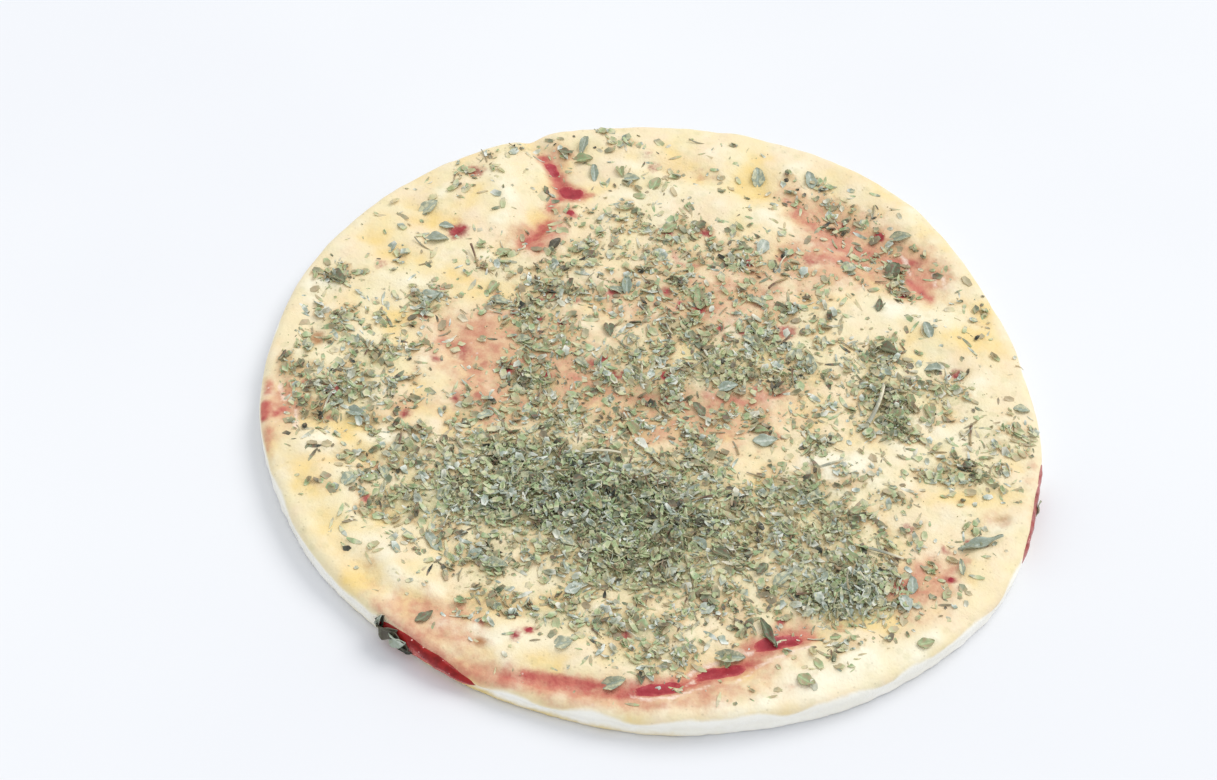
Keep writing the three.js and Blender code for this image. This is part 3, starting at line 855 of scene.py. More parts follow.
def surface_height(x, y):
    """Height of the dough's upper skin, out over its rounded shoulder."""
    angle = np.arctan2(y, x)
    reach = np.hypot(x, y)
    inner = outline_radius(angle) - SHOULDER_WIDTH
    over = np.clip((reach - inner) / SHOULDER_WIDTH, 0, 1)
    pull = np.minimum(1, inner / np.maximum(reach, 1))
    return top_height(x * pull, y * pull) - SHOULDER_DROP * (1 - np.sqrt(1 - over * over))


def surface_normal(x, y):
    step = SLOPE_STEP
    slope_x = (surface_height(x + step, y) - surface_height(x - step, y)) / (2 * step)
    slope_y = (surface_height(x, y + step) - surface_height(x, y - step)) / (2 * step)
    normal = np.stack([-slope_x, -slope_y, np.ones(np.shape(x))], -1)
    return normal / np.linalg.norm(normal, axis=-1, keepdims=True)


def pit_places():
    places = []
    row_pitch = PIT_PITCH * math.sin(math.pi / 3)
    row_count = math.ceil(PIT_FIELD_RADIUS / row_pitch)
    for row in range(-row_count, row_count):
        for column in range(-row_count, row_count + 1):
            x = (column + ROW_SHIFTS[row % 2]) * PIT_PITCH
            y = (row + 1 / 2) * row_pitch
            x += PIT_WANDER * math.sin(WANDER_TURNS_X[0] * row + WANDER_TURNS_X[1] * column)
            y += PIT_WANDER * math.cos(WANDER_TURNS_Y[0] * row + WANDER_TURNS_Y[1] * column)
            if math.hypot(x, y) < PIT_FIELD_RADIUS:
                places.append((x, y))
    return places


# Modelling helpers

def deselect_all():
    bpy.ops.object.select_all(action="DESELECT")


def edit(piece):
    deselect_all()
    piece.select_set(True)
    bpy.context.view_layer.objects.active = piece
    bpy.ops.object.mode_set(mode="EDIT")


def leave_edit():
    bpy.ops.object.mode_set(mode="OBJECT")


def points_of(piece):
    points = np.empty(len(piece.data.vertices) * 3)
    piece.data.vertices.foreach_get("co", points)
    return points.reshape(-1, 3)


def move_points(piece, points):
    piece.data.vertices.foreach_set("co", np.ascontiguousarray(points, dtype=np.float32).ravel())
    piece.data.update()


def apply_modifier(piece, name, kind, **values):
    deselect_all()
    bpy.context.view_layer.objects.active = piece
    modifier = piece.modifiers.new(name, kind)
    for key, value in values.items():
        setattr(modifier, key, value)
    bpy.ops.object.modifier_apply(modifier=name)


def paint_mask(piece, name, values):
    layer = piece.data.attributes.new(name, "FLOAT", "POINT")
    layer.data.foreach_set("value", np.clip(values, 0, 1).astype(np.float32))


def finish_piece(piece, material):
    piece.data.materials.clear()
    piece.data.materials.append(material)
    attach(piece, "root")


# Dough

def disc_from_hexagon(points):
    """Ring share and angle of points of a unit hexagon that is opened out to a disc."""
    sixth = math.pi / 3
    corner = math.pi / 6
    turned = np.arctan2(points[:, 1], points[:, 0]) - corner
    sector = np.floor(turned / sixth)
    within = turned - (sector + 0.5) * sixth
    share = np.hypot(points[:, 0], points[:, 1]) * np.cos(within) / math.cos(sixth / 2)
    along = 0.5 + np.tan(within) / (2 * math.tan(sixth / 2))
    return np.minimum(share, 1), corner + (sector + along) * sixth


def side_profile(down, angle, lump_depth):
    """Radius and height down the side: the shoulder's round, the upright crumbly wall and the foot."""
    outline = outline_radius(angle)
    inner = outline - SHOULDER_WIDTH
    brink = top_height(inner * np.cos(angle), inner * np.sin(angle))
    turn = np.clip(down / SHOULDER_SHARE, 0, 1) * math.pi / 2
    fall = np.clip((down - SHOULDER_SHARE) / (WALL_SHARE - SHOULDER_SHARE), 0, 1)
    tuck = np.clip((down - WALL_SHARE) / (1 - WALL_SHARE), 0, 1) * math.pi / 2
    height = brink - SHOULDER_DROP * (1 - np.cos(turn))
    height -= fall * (brink - SHOULDER_DROP - FOOT_HEIGHT) + FOOT_HEIGHT * np.sin(tuck)
    radius = inner + SHOULDER_WIDTH * np.sin(turn) - WALL_LEAN * fall
    radius -= (FOOT_INSET - WALL_LEAN) * (1 - np.cos(tuck))
    lumps = cloud(outline * np.cos(angle), outline * np.sin(angle), height, SIDE_LUMP_SIZE)
    lumps = np.minimum(lumps - SIDE_LUMP_FLUSH, 0)
    groove = bell((height - GROOVE_HEIGHT) / GROOVE_HALF)
    worn = np.clip((down - SHOULDER_SHARE) / WEAR_FADE, 0, 1) * np.clip((WEAR_END - down) / WEAR_FADE, 0, 1)
    return radius + worn * (lump_depth * lumps - GROOVE_DEPTH * groove), height


def shape_dough(points):
    """Places of the dough's points, and how far each is down the side, from 0 on top to 1 underneath."""
    share, angle = disc_from_hexagon(points)
    down = 1 - points[:, 2]
    on_top, underneath = down < END_TOLERANCE, down > 1 - END_TOLERANCE
    radius, height = side_profile(down, angle, SIDE_LUMP_DEPTH)
    radius = np.where(on_top | underneath, radius * share, radius)
    x, y = radius * np.cos(angle), radius * np.sin(angle)
    pits = sum(
        bell(PIT_STEEPNESS * np.hypot(x - pit_x, y - pit_y) / PIT_RADIUS) for pit_x, pit_y in pit_places())
    height = np.where(on_top, top_height(x, y), height)
    height = np.where(underneath, PIT_DEPTH * np.minimum(pits, 1), height)
    return np.stack([x, y, height], -1), down


def herb_halo(flake_places, x, y):
    """How crowded the flakes are round each point, which stains the dough there and sets the shade painted
    round the herbs.
    """
    reach = HERB_FIELD_RADIUS + 2 * len(HALO_BLUR) * HALO_CELL
    count = round(2 * reach / HALO_CELL)
    crowd, _, _ = np.histogram2d(*flake_places, bins=count, range=((-reach, reach), (-reach, reach)))
    middle = len(HALO_BLUR) // 2
    for axis in (0, 1):
        shifted = (weight * np.roll(crowd, step - middle, axis) for step, weight in enumerate(HALO_BLUR))
        crowd = sum(shifted) / sum(HALO_BLUR)
    column, row = (np.clip((place + reach) / HALO_CELL, 0, count - 1).astype(int) for place in (x, y))
    return np.clip(HALO_STRENGTH * crowd[column, row], 0, 1)


def paint_dough(bread, points, down, flake_places):
    """Masks of the crust's tones, stains and sauce, from the relief and the flakes."""
    x, y, z = points.T
    angle = np.arctan2(y, x)
    wander = 1 + RAW_WANDER * cloud(x, y, np.zeros_like(x), RAW_WANDER_SIZE)
    upper = np.clip((SHOULDER_SHARE * wander - down) / (RAW_FADE * SHOULDER_SHARE), 0, 1)
    lumps = skin_lumps(x, y) / sum(rise for size, rise in LUMP_SIZES)
    halo = herb_halo(flake_places, x, y)
    # Gold painted as shade in hollows and on the slopes of furrows, and paleness painted as highlight on
    # the tops of lumps
    slopes = sum(
        bell(course_distance(x, y, course) / (SLOPE_REACH * half)) for half, depth, course in FURROWS)
    golden_and_shade = patch_sum(x, y, GOLDEN) + HOLLOW_PAINTED_SHADE * np.maximum(-lumps, 0) + SLOPE_PAINTED_SHADE * slopes
    pale = patch_sum(x, y, PALE) + LUMP_PAINTED_HIGHLIGHT * np.maximum(lumps, 0)
    soaked = sum(bell(turn_from(angle, middle) / span) for middle, span in SOAKED_RIM)
    toasted = bell(z / TOASTED_HEIGHT) * bell(turn_from(angle, TOASTED_MIDDLE) / TOASTED_SPAN)
    toasted = toasted * bell((outline_radius(angle) - np.hypot(x, y)) / TOASTED_REACH)
    pitted = np.hypot(x, y) < PIT_FIELD_RADIUS + PIT_RADIUS
    blush = np.minimum(patch_sum(x, y, BLUSH), 1) * (BARE_BLUSH + CROWDED_BLUSH * halo)
    masks = {
        "blush": upper * blush,
        "stain": np.maximum(upper, soaked) * stroke_mask(x, y, SAUCE_STAINS),
        "sauce": upper * spot_mask(x, y, SAUCE_SPOTS),
        "golden_and_shade": upper * golden_and_shade,
        "pale": upper * pale,
        "streak": upper * stroke_mask(x, y, PALE_STREAKS),
        "toast": upper * spot_mask(x, y, TOAST_SPOTS),
        "halo": upper * halo,
        "dust": upper * herb_thickness(x, y),
        "raw": (1 - upper) * (1 - np.minimum(soaked, 1) * (down < WALL_SHARE)),
        "foot": toasted * (down > SHOULDER_SHARE),
        # Painted shade in the docking pits, darker where they are deeper
        "pit_shade": np.where(down > WALL_SHARE, z / PIT_DEPTH, 0) * pitted,
    }
    for name, values in masks.items():
        paint_mask(bread, name, values)


def make_bread(material, flake_places):
    """The dough: a finely cut hexagon, extruded and its side cut into rows, opened out to the disc."""
    deselect_all()
    bpy.ops.mesh.primitive_circle_add(vertices=6, radius=1, fill_type="TRIFAN")
    bread = bpy.context.object
    bread.name = "bread"
    edit(bread)
    bpy.ops.mesh.select_all(action="SELECT")
    for cuts in HEXAGON_CUTS:
        bpy.ops.mesh.subdivide(number_cuts=cuts)
    bpy.ops.mesh.extrude_region_move(TRANSFORM_OT_translate={"value": (0, 0, 1)})
    bpy.ops.mesh.select_mode(type="EDGE")
    bpy.ops.mesh.select_all(action="DESELECT")
    leave_edit()
    heights = points_of(bread)[:, 2]
    for edge in bread.data.edges:
        first, second = edge.vertices
        edge.select = abs(heights[first] - heights[second]) > 0.5
    edit(bread)
    bpy.ops.mesh.subdivide(number_cuts=SIDE_ROWS - 1)
    bpy.ops.mesh.select_all(action="SELECT")
    bpy.ops.mesh.normals_make_consistent(inside=False)
    leave_edit()
    points, down = shape_dough(points_of(bread))
    move_points(bread, points * MM)
    paint_dough(bread, points, down, flake_places)
    bread.data.shade_smooth()
    finish_piece(bread, material)
    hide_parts("pizza_base")


# Sauce

def along_course(course, shares):
    """Points and headings at shares of a course's length."""
    corners = np.array(course, dtype=float)
    lengths = np.concatenate([[0], np.cumsum(np.hypot(*np.diff(corners, axis=0).T))])
    places = shares * lengths[-1]
    step = lengths[-1] / COURSE_STEPS

    def point_at(place):
        return np.stack([np.interp(place, lengths, corners[:, axis]) for axis in (0, 1)])

    x, y = (point_at(places - step) + point_at(places) + point_at(places + step)) / 3
    run_x, run_y = point_at(places + step) - point_at(places - step)
    return x, y, np.arctan2(run_y, run_x)


def lay_ribbon(half, course):
    """A domed strip of sauce that follows a course on the dough, its edges sunk into the skin."""
    deselect_all()
    bpy.ops.mesh.primitive_grid_add(
        x_subdivisions=RIBBON_LENGTH_ROWS, y_subdivisions=RIBBON_WIDTH_ROWS, size=1)
    ribbon = bpy.context.object
    points = points_of(ribbon)
    shares, across = points[:, 0] + 0.5, 2 * points[:, 1]
    x, y, heading = along_course(course, shares)
    width = half * (1 - np.abs(2 * shares - 1) ** RIBBON_TAPER) ** RIBBON_BLUNTNESS + RIBBON_TIP
    ragged = 1 + RIBBON_WAVE * np.sin(RIBBON_WAVE_TURNS * shares + 2 * half + 2 * np.sign(across))
    ragged = ragged + RIBBON_RIPPLE * np.sin(RIBBON_RIPPLE_TURNS * shares)
    x = x - across * width * ragged * np.sin(heading)
    y = y + across * width * ragged * np.cos(heading)
    dome = (1 - across ** 4) * np.minimum(1, width / half)
    height = surface_height(x, y) - RIBBON_SINK + (RIBBON_RISE + RIBBON_SINK) * dome
    move_points(ribbon, np.stack([x, y, height], -1) * MM)
    apply_modifier(ribbon, "sauce depth", "SOLIDIFY", thickness=RIBBON_THICKNESS * MM, offset=-1)
    number = len(ribbon.data.vertices)
    edge = np.maximum(np.abs(across), np.abs(2 * shares - 1))
    paint_mask(ribbon, "deep", np.zeros(number))
    paint_mask(ribbon, "dry", np.zeros(number))
    paint_mask(ribbon, "edge", np.resize(RIBBON_PALE_EDGE * edge ** 2, number))
    return ribbon


def mould_bead(middle, half_span, middle_down, half_down, bulge, dryness):
    """A lumpy run of sauce that clings to the shoulder and the side of the rim."""
    deselect_all()
    bpy.ops.mesh.primitive_uv_sphere_add(segments=BEAD_SEGMENTS, ring_count=BEAD_RINGS, radius=1)
    bead = bpy.context.object
    along, inward, rise = points_of(bead).T
    angle = math.radians(middle) + along * math.radians(half_span)
    wave = BEAD_WAVE * np.sin(BEAD_WAVE_TURNS * along) * (1 - rise * rise)
    down = np.clip(middle_down - half_down * (rise + wave), *BEAD_LIMITS)
    radius, height = side_profile(down, angle, 0)
    outward = np.minimum(down / SHOULDER_SHARE, 1) * math.pi / 2
    lumps = cloud(radius * np.cos(angle), radius * np.sin(angle), height, BEAD_LUMP_SIZE)
    thickness = -inward * np.where(inward < 0, bulge * (1 + BEAD_LUMPS * lumps), BEAD_SINK)
    radius = radius + thickness * np.sin(outward)
    height = height + thickness * np.cos(outward)
    move_points(bead, np.stack([radius * np.cos(angle), radius * np.sin(angle), height], -1) * MM)
    # The thick sauce gets darker upwards: painted shade under the dough's overhanging lip
    paint_mask(bead, "deep", BEAD_DEPTH + BEAD_UPPER_SHADE_GAIN * rise)
    paint_mask(bead, "edge", BEAD_PALE_EDGE - rise)
    paint_mask(bead, "dry", np.full(len(bead.data.vertices), dryness))
    return bead


def make_sauce(material):
    forms = [lay_ribbon(half, course) for half, course in SAUCE_RIBBONS]
    forms += [mould_bead(*bead) for bead in SAUCE_BEADS]
    deselect_all()
    for form in forms:
        form.select_set(True)
    sauce = forms[0]
    sauce.name = "sauce"
    bpy.context.view_layer.objects.active = sauce
    bpy.ops.object.join()
    edit(sauce)
    bpy.ops.mesh.select_all(action="SELECT")
    bpy.ops.mesh.normals_make_consistent(inside=False)
    leave_edit()
    sauce.data.shade_smooth()
    finish_piece(sauce, material)


# Herbs

# Paleness of torn bits: gain towards the edge, distance where it is even, and size and turns of its
# change from end to end
TORN_EDGE_PALENESS = 0.24
TORN_EVEN_DISTANCE = 0.3
TORN_END_PALENESS = 0.14
TORN_END_TURNS = 5

# Paleness of leaves: on the rib, half width of the rib, gain and start of the paler edge, and the rest
RIB_PALENESS = 0.12
RIB_HALF_WIDTH = 0.08
LEAF_EDGE_PALENESS = 0.2
LEAF_EDGE_START = 0.3
LEAF_DARKNESS = 0.04

# Thickness of each kind as a share of its length
FLAKE_THICKNESS = 0.06
SHRED_THICKNESS = 0.05
LEAF_THICKNESS = 0.04

# Narrowing of a shred towards its ends
SHRED_TAPER = 1.6

# Form of a leaf: rows along and across, least blade, its roundness and narrowing, waves of its edge as
# size and turns, power of its cup, and turns of its ripple along and across
LEAF_LENGTH_ROWS = 12
LEAF_WIDTH_ROWS = 8
LEAF_TIP = 0.004
LEAF_ROUNDNESS = 0.62
LEAF_TAPER = 0.22
LEAF_WAVE = 0.06
LEAF_WAVE_TURNS = 7
LEAF_WAVE_SHIFT = 3
LEAF_TEETH = 0.04
LEAF_TEETH_TURNS = 15
LEAF_CUP_POWER = 1.3
LEAF_RIPPLE_TURNS = (5, 2)

# Form of a stem: its sides, the cuts along it that let it bow, and its narrowing
STEM_SIDES = 5
STEM_CUTS = (-0.25, 0, 0.25)
STEM_TAPER = 0.35

# Flakes: how far each corner reaches, width, curl and fold
FLAKE_FORMS = [
    ((1, 0.6, 0.95, 0.65, 1, 0.55), 0.62, 0.14, 0.12),
    ((1, 0.85, 0.6, 1, 0.6), 0.75, -0.12, 0.2),
    ((0.8, 1, 0.55, 0.95, 0.8), 0.85, 0.1, -0.12),
    ((1, 0.5, 0.85, 1, 0.6, 0.75), 0.55, 0.2, 0.1),
    ((1, 0.7, 0.6, 0.9, 0.8), 0.65, -0.1, 0.35),
    ((1, 0.6, 0.75, 1, 0.6, 0.8), 0.48, 0.12, 0.55),
    ((1, 0.85, 0.9, 1, 0.85, 0.8), 0.6, 0.1, 0.16),
]

# Shreds: width, curl, twist and sway
SHRED_FORMS = [
    (0.4, 0.06, 0.5, 0.02),
    (0.26, -0.08, 0.3, -0.03),
    (0.24, 0.05, -0.6, 0.04),
    (0.32, 0.05, 0.4, -0.03),
]

# Crumbs: corners and flatness
CRUMB_FORMS = [(4, 0.5), (3, 0.7)]

# Whole leaves: cup, droop and wave
LEAF_FORMS = [(0.14, 0.05, 0.03), (0.08, -0.05, 0.05), (0.2, 0.1, 0.04)]

# Stems: bow
STEM_FORMS = [0.2, -0.4, 0.7]


def take_form(piece, paleness):
    """Points, triangles and each point's paleness of a modelled form, which is then removed."""
    piece.data.calc_loop_triangles()
    triangles = np.empty(len(piece.data.loop_triangles) * 3, dtype=np.int64)
    piece.data.loop_triangles.foreach_get("vertices", triangles)
    points = points_of(piece)
    bpy.data.objects.remove(piece)
    return points, triangles.reshape(-1, 3), paleness(points)


def pale_edge(points):
    """Torn bits are paler at their edges, and differ from end to end."""
    outward = TORN_EDGE_PALENESS * (np.hypot(points[:, 0], points[:, 1]) - TORN_EVEN_DISTANCE)
    return outward + TORN_END_PALENESS * np.sin(TORN_END_TURNS * points[:, 0])


def pale_rib(points):
    """Leaves are paler along their middle rib and at their edge."""
    across = np.abs(points[:, 1])
    rib = RIB_PALENESS * bell(across / RIB_HALF_WIDTH)
    return rib + LEAF_EDGE_PALENESS * np.maximum(across - LEAF_EDGE_START, 0) - LEAF_DARKNESS


def model_flake(reaches, width, curl, fold):
    """A torn flat bit of leaf of unit length: an uneven fan, curled at one end and folded."""
    deselect_all()
    bpy.ops.mesh.primitive_circle_add(vertices=len(reaches), radius=0.5, fill_type="TRIFAN")
    flake = bpy.context.object
    points = points_of(flake)
    turn = np.arctan2(points[:, 1], points[:, 0]) / (2 * math.pi) % 1
    points *= np.interp(turn, np.linspace(0, 1, len(reaches) + 1), [*reaches, reaches[0]])[:, None]
    points[:, 1] *= width
    points[:, 2] = 4 * curl * np.maximum(points[:, 0], 0) ** 2 + fold * np.abs(points[:, 1]) / width
    move_points(flake, points)
    apply_modifier(flake, "leaf thickness", "SOLIDIFY", thickness=FLAKE_THICKNESS, offset=0)
    return take_form(flake, pale_edge)


def model_shred(width, curl, twist, sway):
    """A narrow torn strip of unit length, curled along its length, swayed and twisted."""
    deselect_all()
    bpy.ops.mesh.primitive_grid_add(x_subdivisions=3, y_subdivisions=1, size=1)
    shred = bpy.context.object
    points = points_of(shred)
    along = points[:, 0]
    across = points[:, 1] * width * (1 - SHRED_TAPER * np.abs(along))
    points[:, 1] = across * np.cos(twist * along) + 4 * sway * along * along
    points[:, 2] = 4 * curl * along * along + across * np.sin(twist * along)
    move_points(shred, points)
    apply_modifier(shred, "leaf thickness", "SOLIDIFY", thickness=SHRED_THICKNESS, offset=0)
    return take_form(shred, pale_edge)


def model_crumb(corners, flatness):
    """A broken crumb of unit width: a low cone with few corners."""
    deselect_all()
    bpy.ops.mesh.primitive_cone_add(
        vertices=corners, radius1=0.5, radius2=0, depth=flatness, end_fill_type="TRIFAN")
    return take_form(bpy.context.object, pale_edge)


def model_leaf(cup, droop, wave):
    """A whole dried leaf of unit length and width, with a crease along its middle."""
    deselect_all()
    bpy.ops.mesh.primitive_grid_add(x_subdivisions=LEAF_LENGTH_ROWS, y_subdivisions=LEAF_WIDTH_ROWS, size=1)
    leaf = bpy.context.object
    points = points_of(leaf)
    along, across = 2 * points[:, 0], 2 * points[:, 1]
    blade = np.maximum(1 - along * along, LEAF_TIP) ** LEAF_ROUNDNESS * (1 - LEAF_TAPER * along)
    ragged = 1 + LEAF_WAVE * np.sin(LEAF_WAVE_TURNS * along + LEAF_WAVE_SHIFT * np.sign(across))
    ragged = ragged + LEAF_TEETH * np.sin(LEAF_TEETH_TURNS * along)
    ripple = np.sin(LEAF_RIPPLE_TURNS[0] * along + LEAF_RIPPLE_TURNS[1] * across)
    points[:, 1] = 0.5 * across * blade * ragged + 2 * wave * along * along
    points[:, 2] = cup * np.abs(across) ** LEAF_CUP_POWER * blade - droop * along * along
    points[:, 2] += wave * ripple * np.abs(across)
    move_points(leaf, points)
    apply_modifier(leaf, "leaf thickness", "SOLIDIFY", thickness=LEAF_THICKNESS, offset=0)
    return take_form(leaf, pale_rib)


def model_stem(bow):
    """A thin dry stem of unit length, bowed a little and thinner at one end."""
    deselect_all()
    bpy.ops.mesh.primitive_cylinder_add(vertices=STEM_SIDES, radius=0.5, depth=1, end_fill_type="TRIFAN")
    stem = bpy.context.object
    edit(stem)
    for height in STEM_CUTS:
        bpy.ops.mesh.select_all(action="SELECT")
        bpy.ops.mesh.bisect(plane_co=(0, 0, height), plane_no=(0, 0, 1))
    leave_edit()
    points = points_of(stem)
    taper = 1 - STEM_TAPER * (points[:, 2] + 0.5)
    turned = np.stack([points[:, 2], points[:, 0] * taper, points[:, 1] * taper], -1)
    turned[:, 1] += bow * (1 - 4 * turned[:, 0] ** 2)
    move_points(stem, turned)
    return take_form(stem, pale_edge)


def surface_frames(x, y, heading, tilt, roll):
    """Turning matrices of things that lie on the dough, tilted and rolled from its skin."""
    normal = surface_normal(x, y)
    ahead = np.stack([np.cos(heading), np.sin(heading), np.zeros_like(heading)], -1)
    across = np.cross(normal, ahead)
    across /= np.linalg.norm(across, axis=-1, keepdims=True)
    along = np.cross(across, normal)
    raised = along * np.cos(tilt)[:, None] + normal * np.sin(tilt)[:, None]
    upward = np.cross(raised, across)
    side = across * np.cos(roll)[:, None] + upward * np.sin(roll)[:, None]
    return np.stack([raised, side, np.cross(raised, side)], -1)


def joined_copies(name, forms, kinds, places, frames, scales, tints, veils, material):
    """One piece that holds a copy of a form at every place, with its tint and veil on its points."""
    all_points, all_triangles, all_tints, all_veils = [], [], [], []
    start = 0
    for kind, (points, triangles, paleness) in enumerate(forms):
        mine = kinds == kind
        count = int(mine.sum())
        sized = points[None] * scales[mine][:, None, :]
        placed = np.einsum("nij,nvj->nvi", frames[mine], sized) + places[mine][:, None, :]
        offsets = start + np.arange(count)[:, None, None] * len(points)
        all_points.append(placed.reshape(-1, 3))
        all_triangles.append((triangles[None] + offsets).reshape(-1, 3))
        all_tints.append((tints[mine][:, None] + paleness[None]).ravel())
        all_veils.append(np.repeat(veils[mine], len(points)))
        start += count * len(points)
    mesh = bpy.data.meshes.new(name)
    points = np.concatenate(all_points) * MM
    mesh.from_pydata(points.tolist(), [], np.concatenate(all_triangles).tolist())
    piece = bpy.data.objects.new(name, mesh)
    bpy.context.scene.collection.objects.link(piece)
    paint_mask(piece, "tint", np.concatenate(all_tints))
    paint_mask(piece, "veil", np.concatenate(all_veils))
    finish_piece(piece, material)


def herb_layers(x, y):
    return STRAY_LAYERS + patch_sum(x, y, HERB_LAYERS)


def herb_thickness(x, y):
    """How thick the herbs lie, from 0 where they are sparse to 1 in the deepest heap."""
    return np.clip(herb_layers(x, y) / FULL_LAYERS, 0, 1)


def herb_field():
    """Cells of the top and each cell's share of the herbs, which lie in uneven drifts."""
    ticks = np.arange(-HERB_FIELD_RADIUS, HERB_FIELD_RADIUS, CELL)
    x, y = (axis.ravel() for axis in np.meshgrid(ticks, ticks))
    drifts = np.maximum(1 + DRIFT_DEPTH * cloud(x, y, np.zeros_like(x), DRIFT_SIZE), DRIFT_LEAST)
    sauce = np.maximum(spot_mask(x, y, SAUCE_SPOTS), stroke_mask(x, y, SAUCE_STAINS))
    on_top = np.hypot(x, y) < HERB_FIELD_RADIUS
    weight = herb_layers(x, y) * drifts * (1 - SAUCE_CLEARING * sauce) * on_top
    return x, y, weight / weight.sum()


def draw_herb_places(draws, field, count):
    """Places drawn where herbs lie, some of them in small clumps."""
    grid_x, grid_y, weight = field

    def draw_places(number):
        cells = draws.choice(len(weight), number, p=weight)
        jitter = draws.uniform(0, CELL, (2, number))
        return grid_x[cells] + jitter[0], grid_y[cells] + jitter[1]

    x, y = draw_places(count)
    clump_x, clump_y = draw_places(CLUMP_COUNT)
    chosen = draws.integers(0, CLUMP_COUNT, count)
    scatter = draws.normal(0, CLUMP_RADIUS, (2, count))
    clumped = draws.random(count) < CLUMP_SHARE
    x = np.where(clumped, clump_x[chosen] + scatter[0], x)
    y = np.where(clumped, clump_y[chosen] + scatter[1], y)
    inside = np.hypot(x, y) < HERB_FIELD_RADIUS
    return x[inside], y[inside]


def draw_crumb_places(draws, field, flake_places):
    """Places of crumbs, most of them beside flakes."""
    x, y = draw_herb_places(draws, field, CRUMB_COUNT)
    kept = draws.random(len(x)) < LONE_CRUMBS + herb_halo(flake_places, x, y)
    return x[kept], y[kept]


def scatter_herbs(draws, name, forms, places, crowd, length, material):
    """Fine herbs of one kind, heaped and tilted where they lie thick or crowd, and else flat."""
    x, y = places
    number = len(x)
    thick = herb_thickness(x, y)
    heaped = np.maximum(thick, CROWD_HEAP * crowd * crowd)
    size = length * (1 + HEAP_GROWTH * thick) * np.exp(draws.normal(0, SIZE_SPREAD, number))
    size = np.minimum(size, LONGEST_FLAKE)
    tilt = draws.normal(0, 1, number) * np.radians(SINGLE_TILT + HEAP_TILT * heaped)
    roll = draws.normal(0, 1, number) * np.radians(SINGLE_ROLL + HEAP_ROLL * heaped)
    frames = surface_frames(x, y, draws.uniform(0, 2 * math.pi, number), tilt, roll)
    unevenness = cloud(x, y, np.full(number, float(HEAP_LUMP_SIZE)), HEAP_LUMP_SIZE)
    lumps = np.maximum(1 + HEAP_LUMPS * unevenness, HEAP_LEAST_LUMP)
    lift = HEAP_RISE * heaped * heaped * lumps * draws.random(number)
    raised = np.stack([x, y, surface_height(x, y) + lift], -1)
    kinds = draws.integers(0, len(forms), number)
    paler = draws.random(number) < PALE_SHARE + patch_sum(x, y, PALE_HEAPS)
    tints = np.where(paler, draws.normal(*PALE_TINT, number), draws.normal(*TINT, number))
    tints = np.clip(tints + TINT_DRIFT * cloud(x, y, np.zeros(number), TINT_DRIFT_SIZE), *TINT_LIMITS)
    veils = VEIL * (1 - heaped) * draws.random(number) ** VEIL_LEAN
    scales = np.repeat(size[:, None], 3, 1)
    joined_copies(name, forms, kinds, raised, frames, scales, tints, veils, material)


def spread_leaves():
    """The evenly spread leaves of the solid: x, y, length, width, heading, tilt, tone."""
    leaves = []
    draw = 0
    while len(leaves) < SPREAD_COUNT:
        draw += 1
        part_x, part_y, chance = ((0.5 + draw * step) % 1 for step in EVEN_STEPS)
        x, y = (2 * part_x - 1) * SPREAD_RADIUS, (2 * part_y - 1) * SPREAD_RADIUS
        density = min(SPREAD_BARE_DENSITY + patch_sum(x, y, SPREAD_PATCHES), 1)
        if math.hypot(x, y) < SPREAD_RADIUS and chance < density:
            rank = len(leaves)
            length = SPREAD_LONGEST + (SPREAD_SHORTEST - SPREAD_LONGEST) * rank / SPREAD_COUNT
            tone = SPREAD_TONES[rank % len(SPREAD_TONES)]
            width = length * SPREAD_SLENDERNESS
            leaves.append((x, y, length, width, GOLDEN_TURN * rank, SPREAD_TILT, tone))
    return leaves


def rim_frames():
    """Places and turning matrices of the leaves on the rim."""
    places, frames = [], []
    for degrees, height, gap, _, _, lean, _ in RIM_LEAVES:
        angle = math.radians(degrees)
        outward = np.array([math.cos(angle), math.sin(angle), 0])
        sideways = np.array([-outward[1], outward[0], 0])
        heading = np.array([0, 0, math.cos(math.radians(lean))]) + sideways * math.sin(math.radians(lean))
        above = min(max(1 - (RIM_HEIGHT - height) / SHOULDER_DROP, 0), 1)
        inset = SHOULDER_WIDTH * (1 - math.sqrt(1 - above * above))
        reach = float(outline_radius(angle)) - inset + gap
        places.append(outward * reach + np.array([0, 0, height]))
        frames.append(np.stack([heading, np.cross(outward, heading), outward], -1))
    return np.array(places), np.array(frames)


def make_leaves(draws, material):
    leaves = LARGE_LEAVES + spread_leaves()
    x, y, length, width, heading, tilt = np.array([leaf[:6] for leaf in leaves], dtype=float).T
    tints = [TONES[leaf[-1]] for leaf in leaves + RIM_LEAVES]
    frames = surface_frames(x, y, np.radians(heading), np.radians(tilt), np.zeros_like(x))
    lift = LEAF_LIFT + LEAF_HEAP_SHARE * HEAP_RISE * herb_thickness(x, y) ** 2
    places = np.stack([x, y, surface_height(x, y) + lift], -1)
    scales = np.stack([length, LEAF_NARROWING * width, length], -1)
    rim_places, rim_turns = rim_frames()
    rim_scales = np.array([(length, width, length) for _, _, _, length, width, _, _ in RIM_LEAVES])
    forms = [model_leaf(*form) for form in LEAF_FORMS]
    kinds = draws.integers(0, len(forms), len(tints))
    veils = LEAF_VEIL * VEIL * draws.random(len(tints))
    joined_copies(
        "herb_leaves", forms, kinds,
        np.concatenate([places, rim_places]), np.concatenate([frames, rim_turns]),
        np.concatenate([scales, rim_scales]), np.array(tints), veils, material)


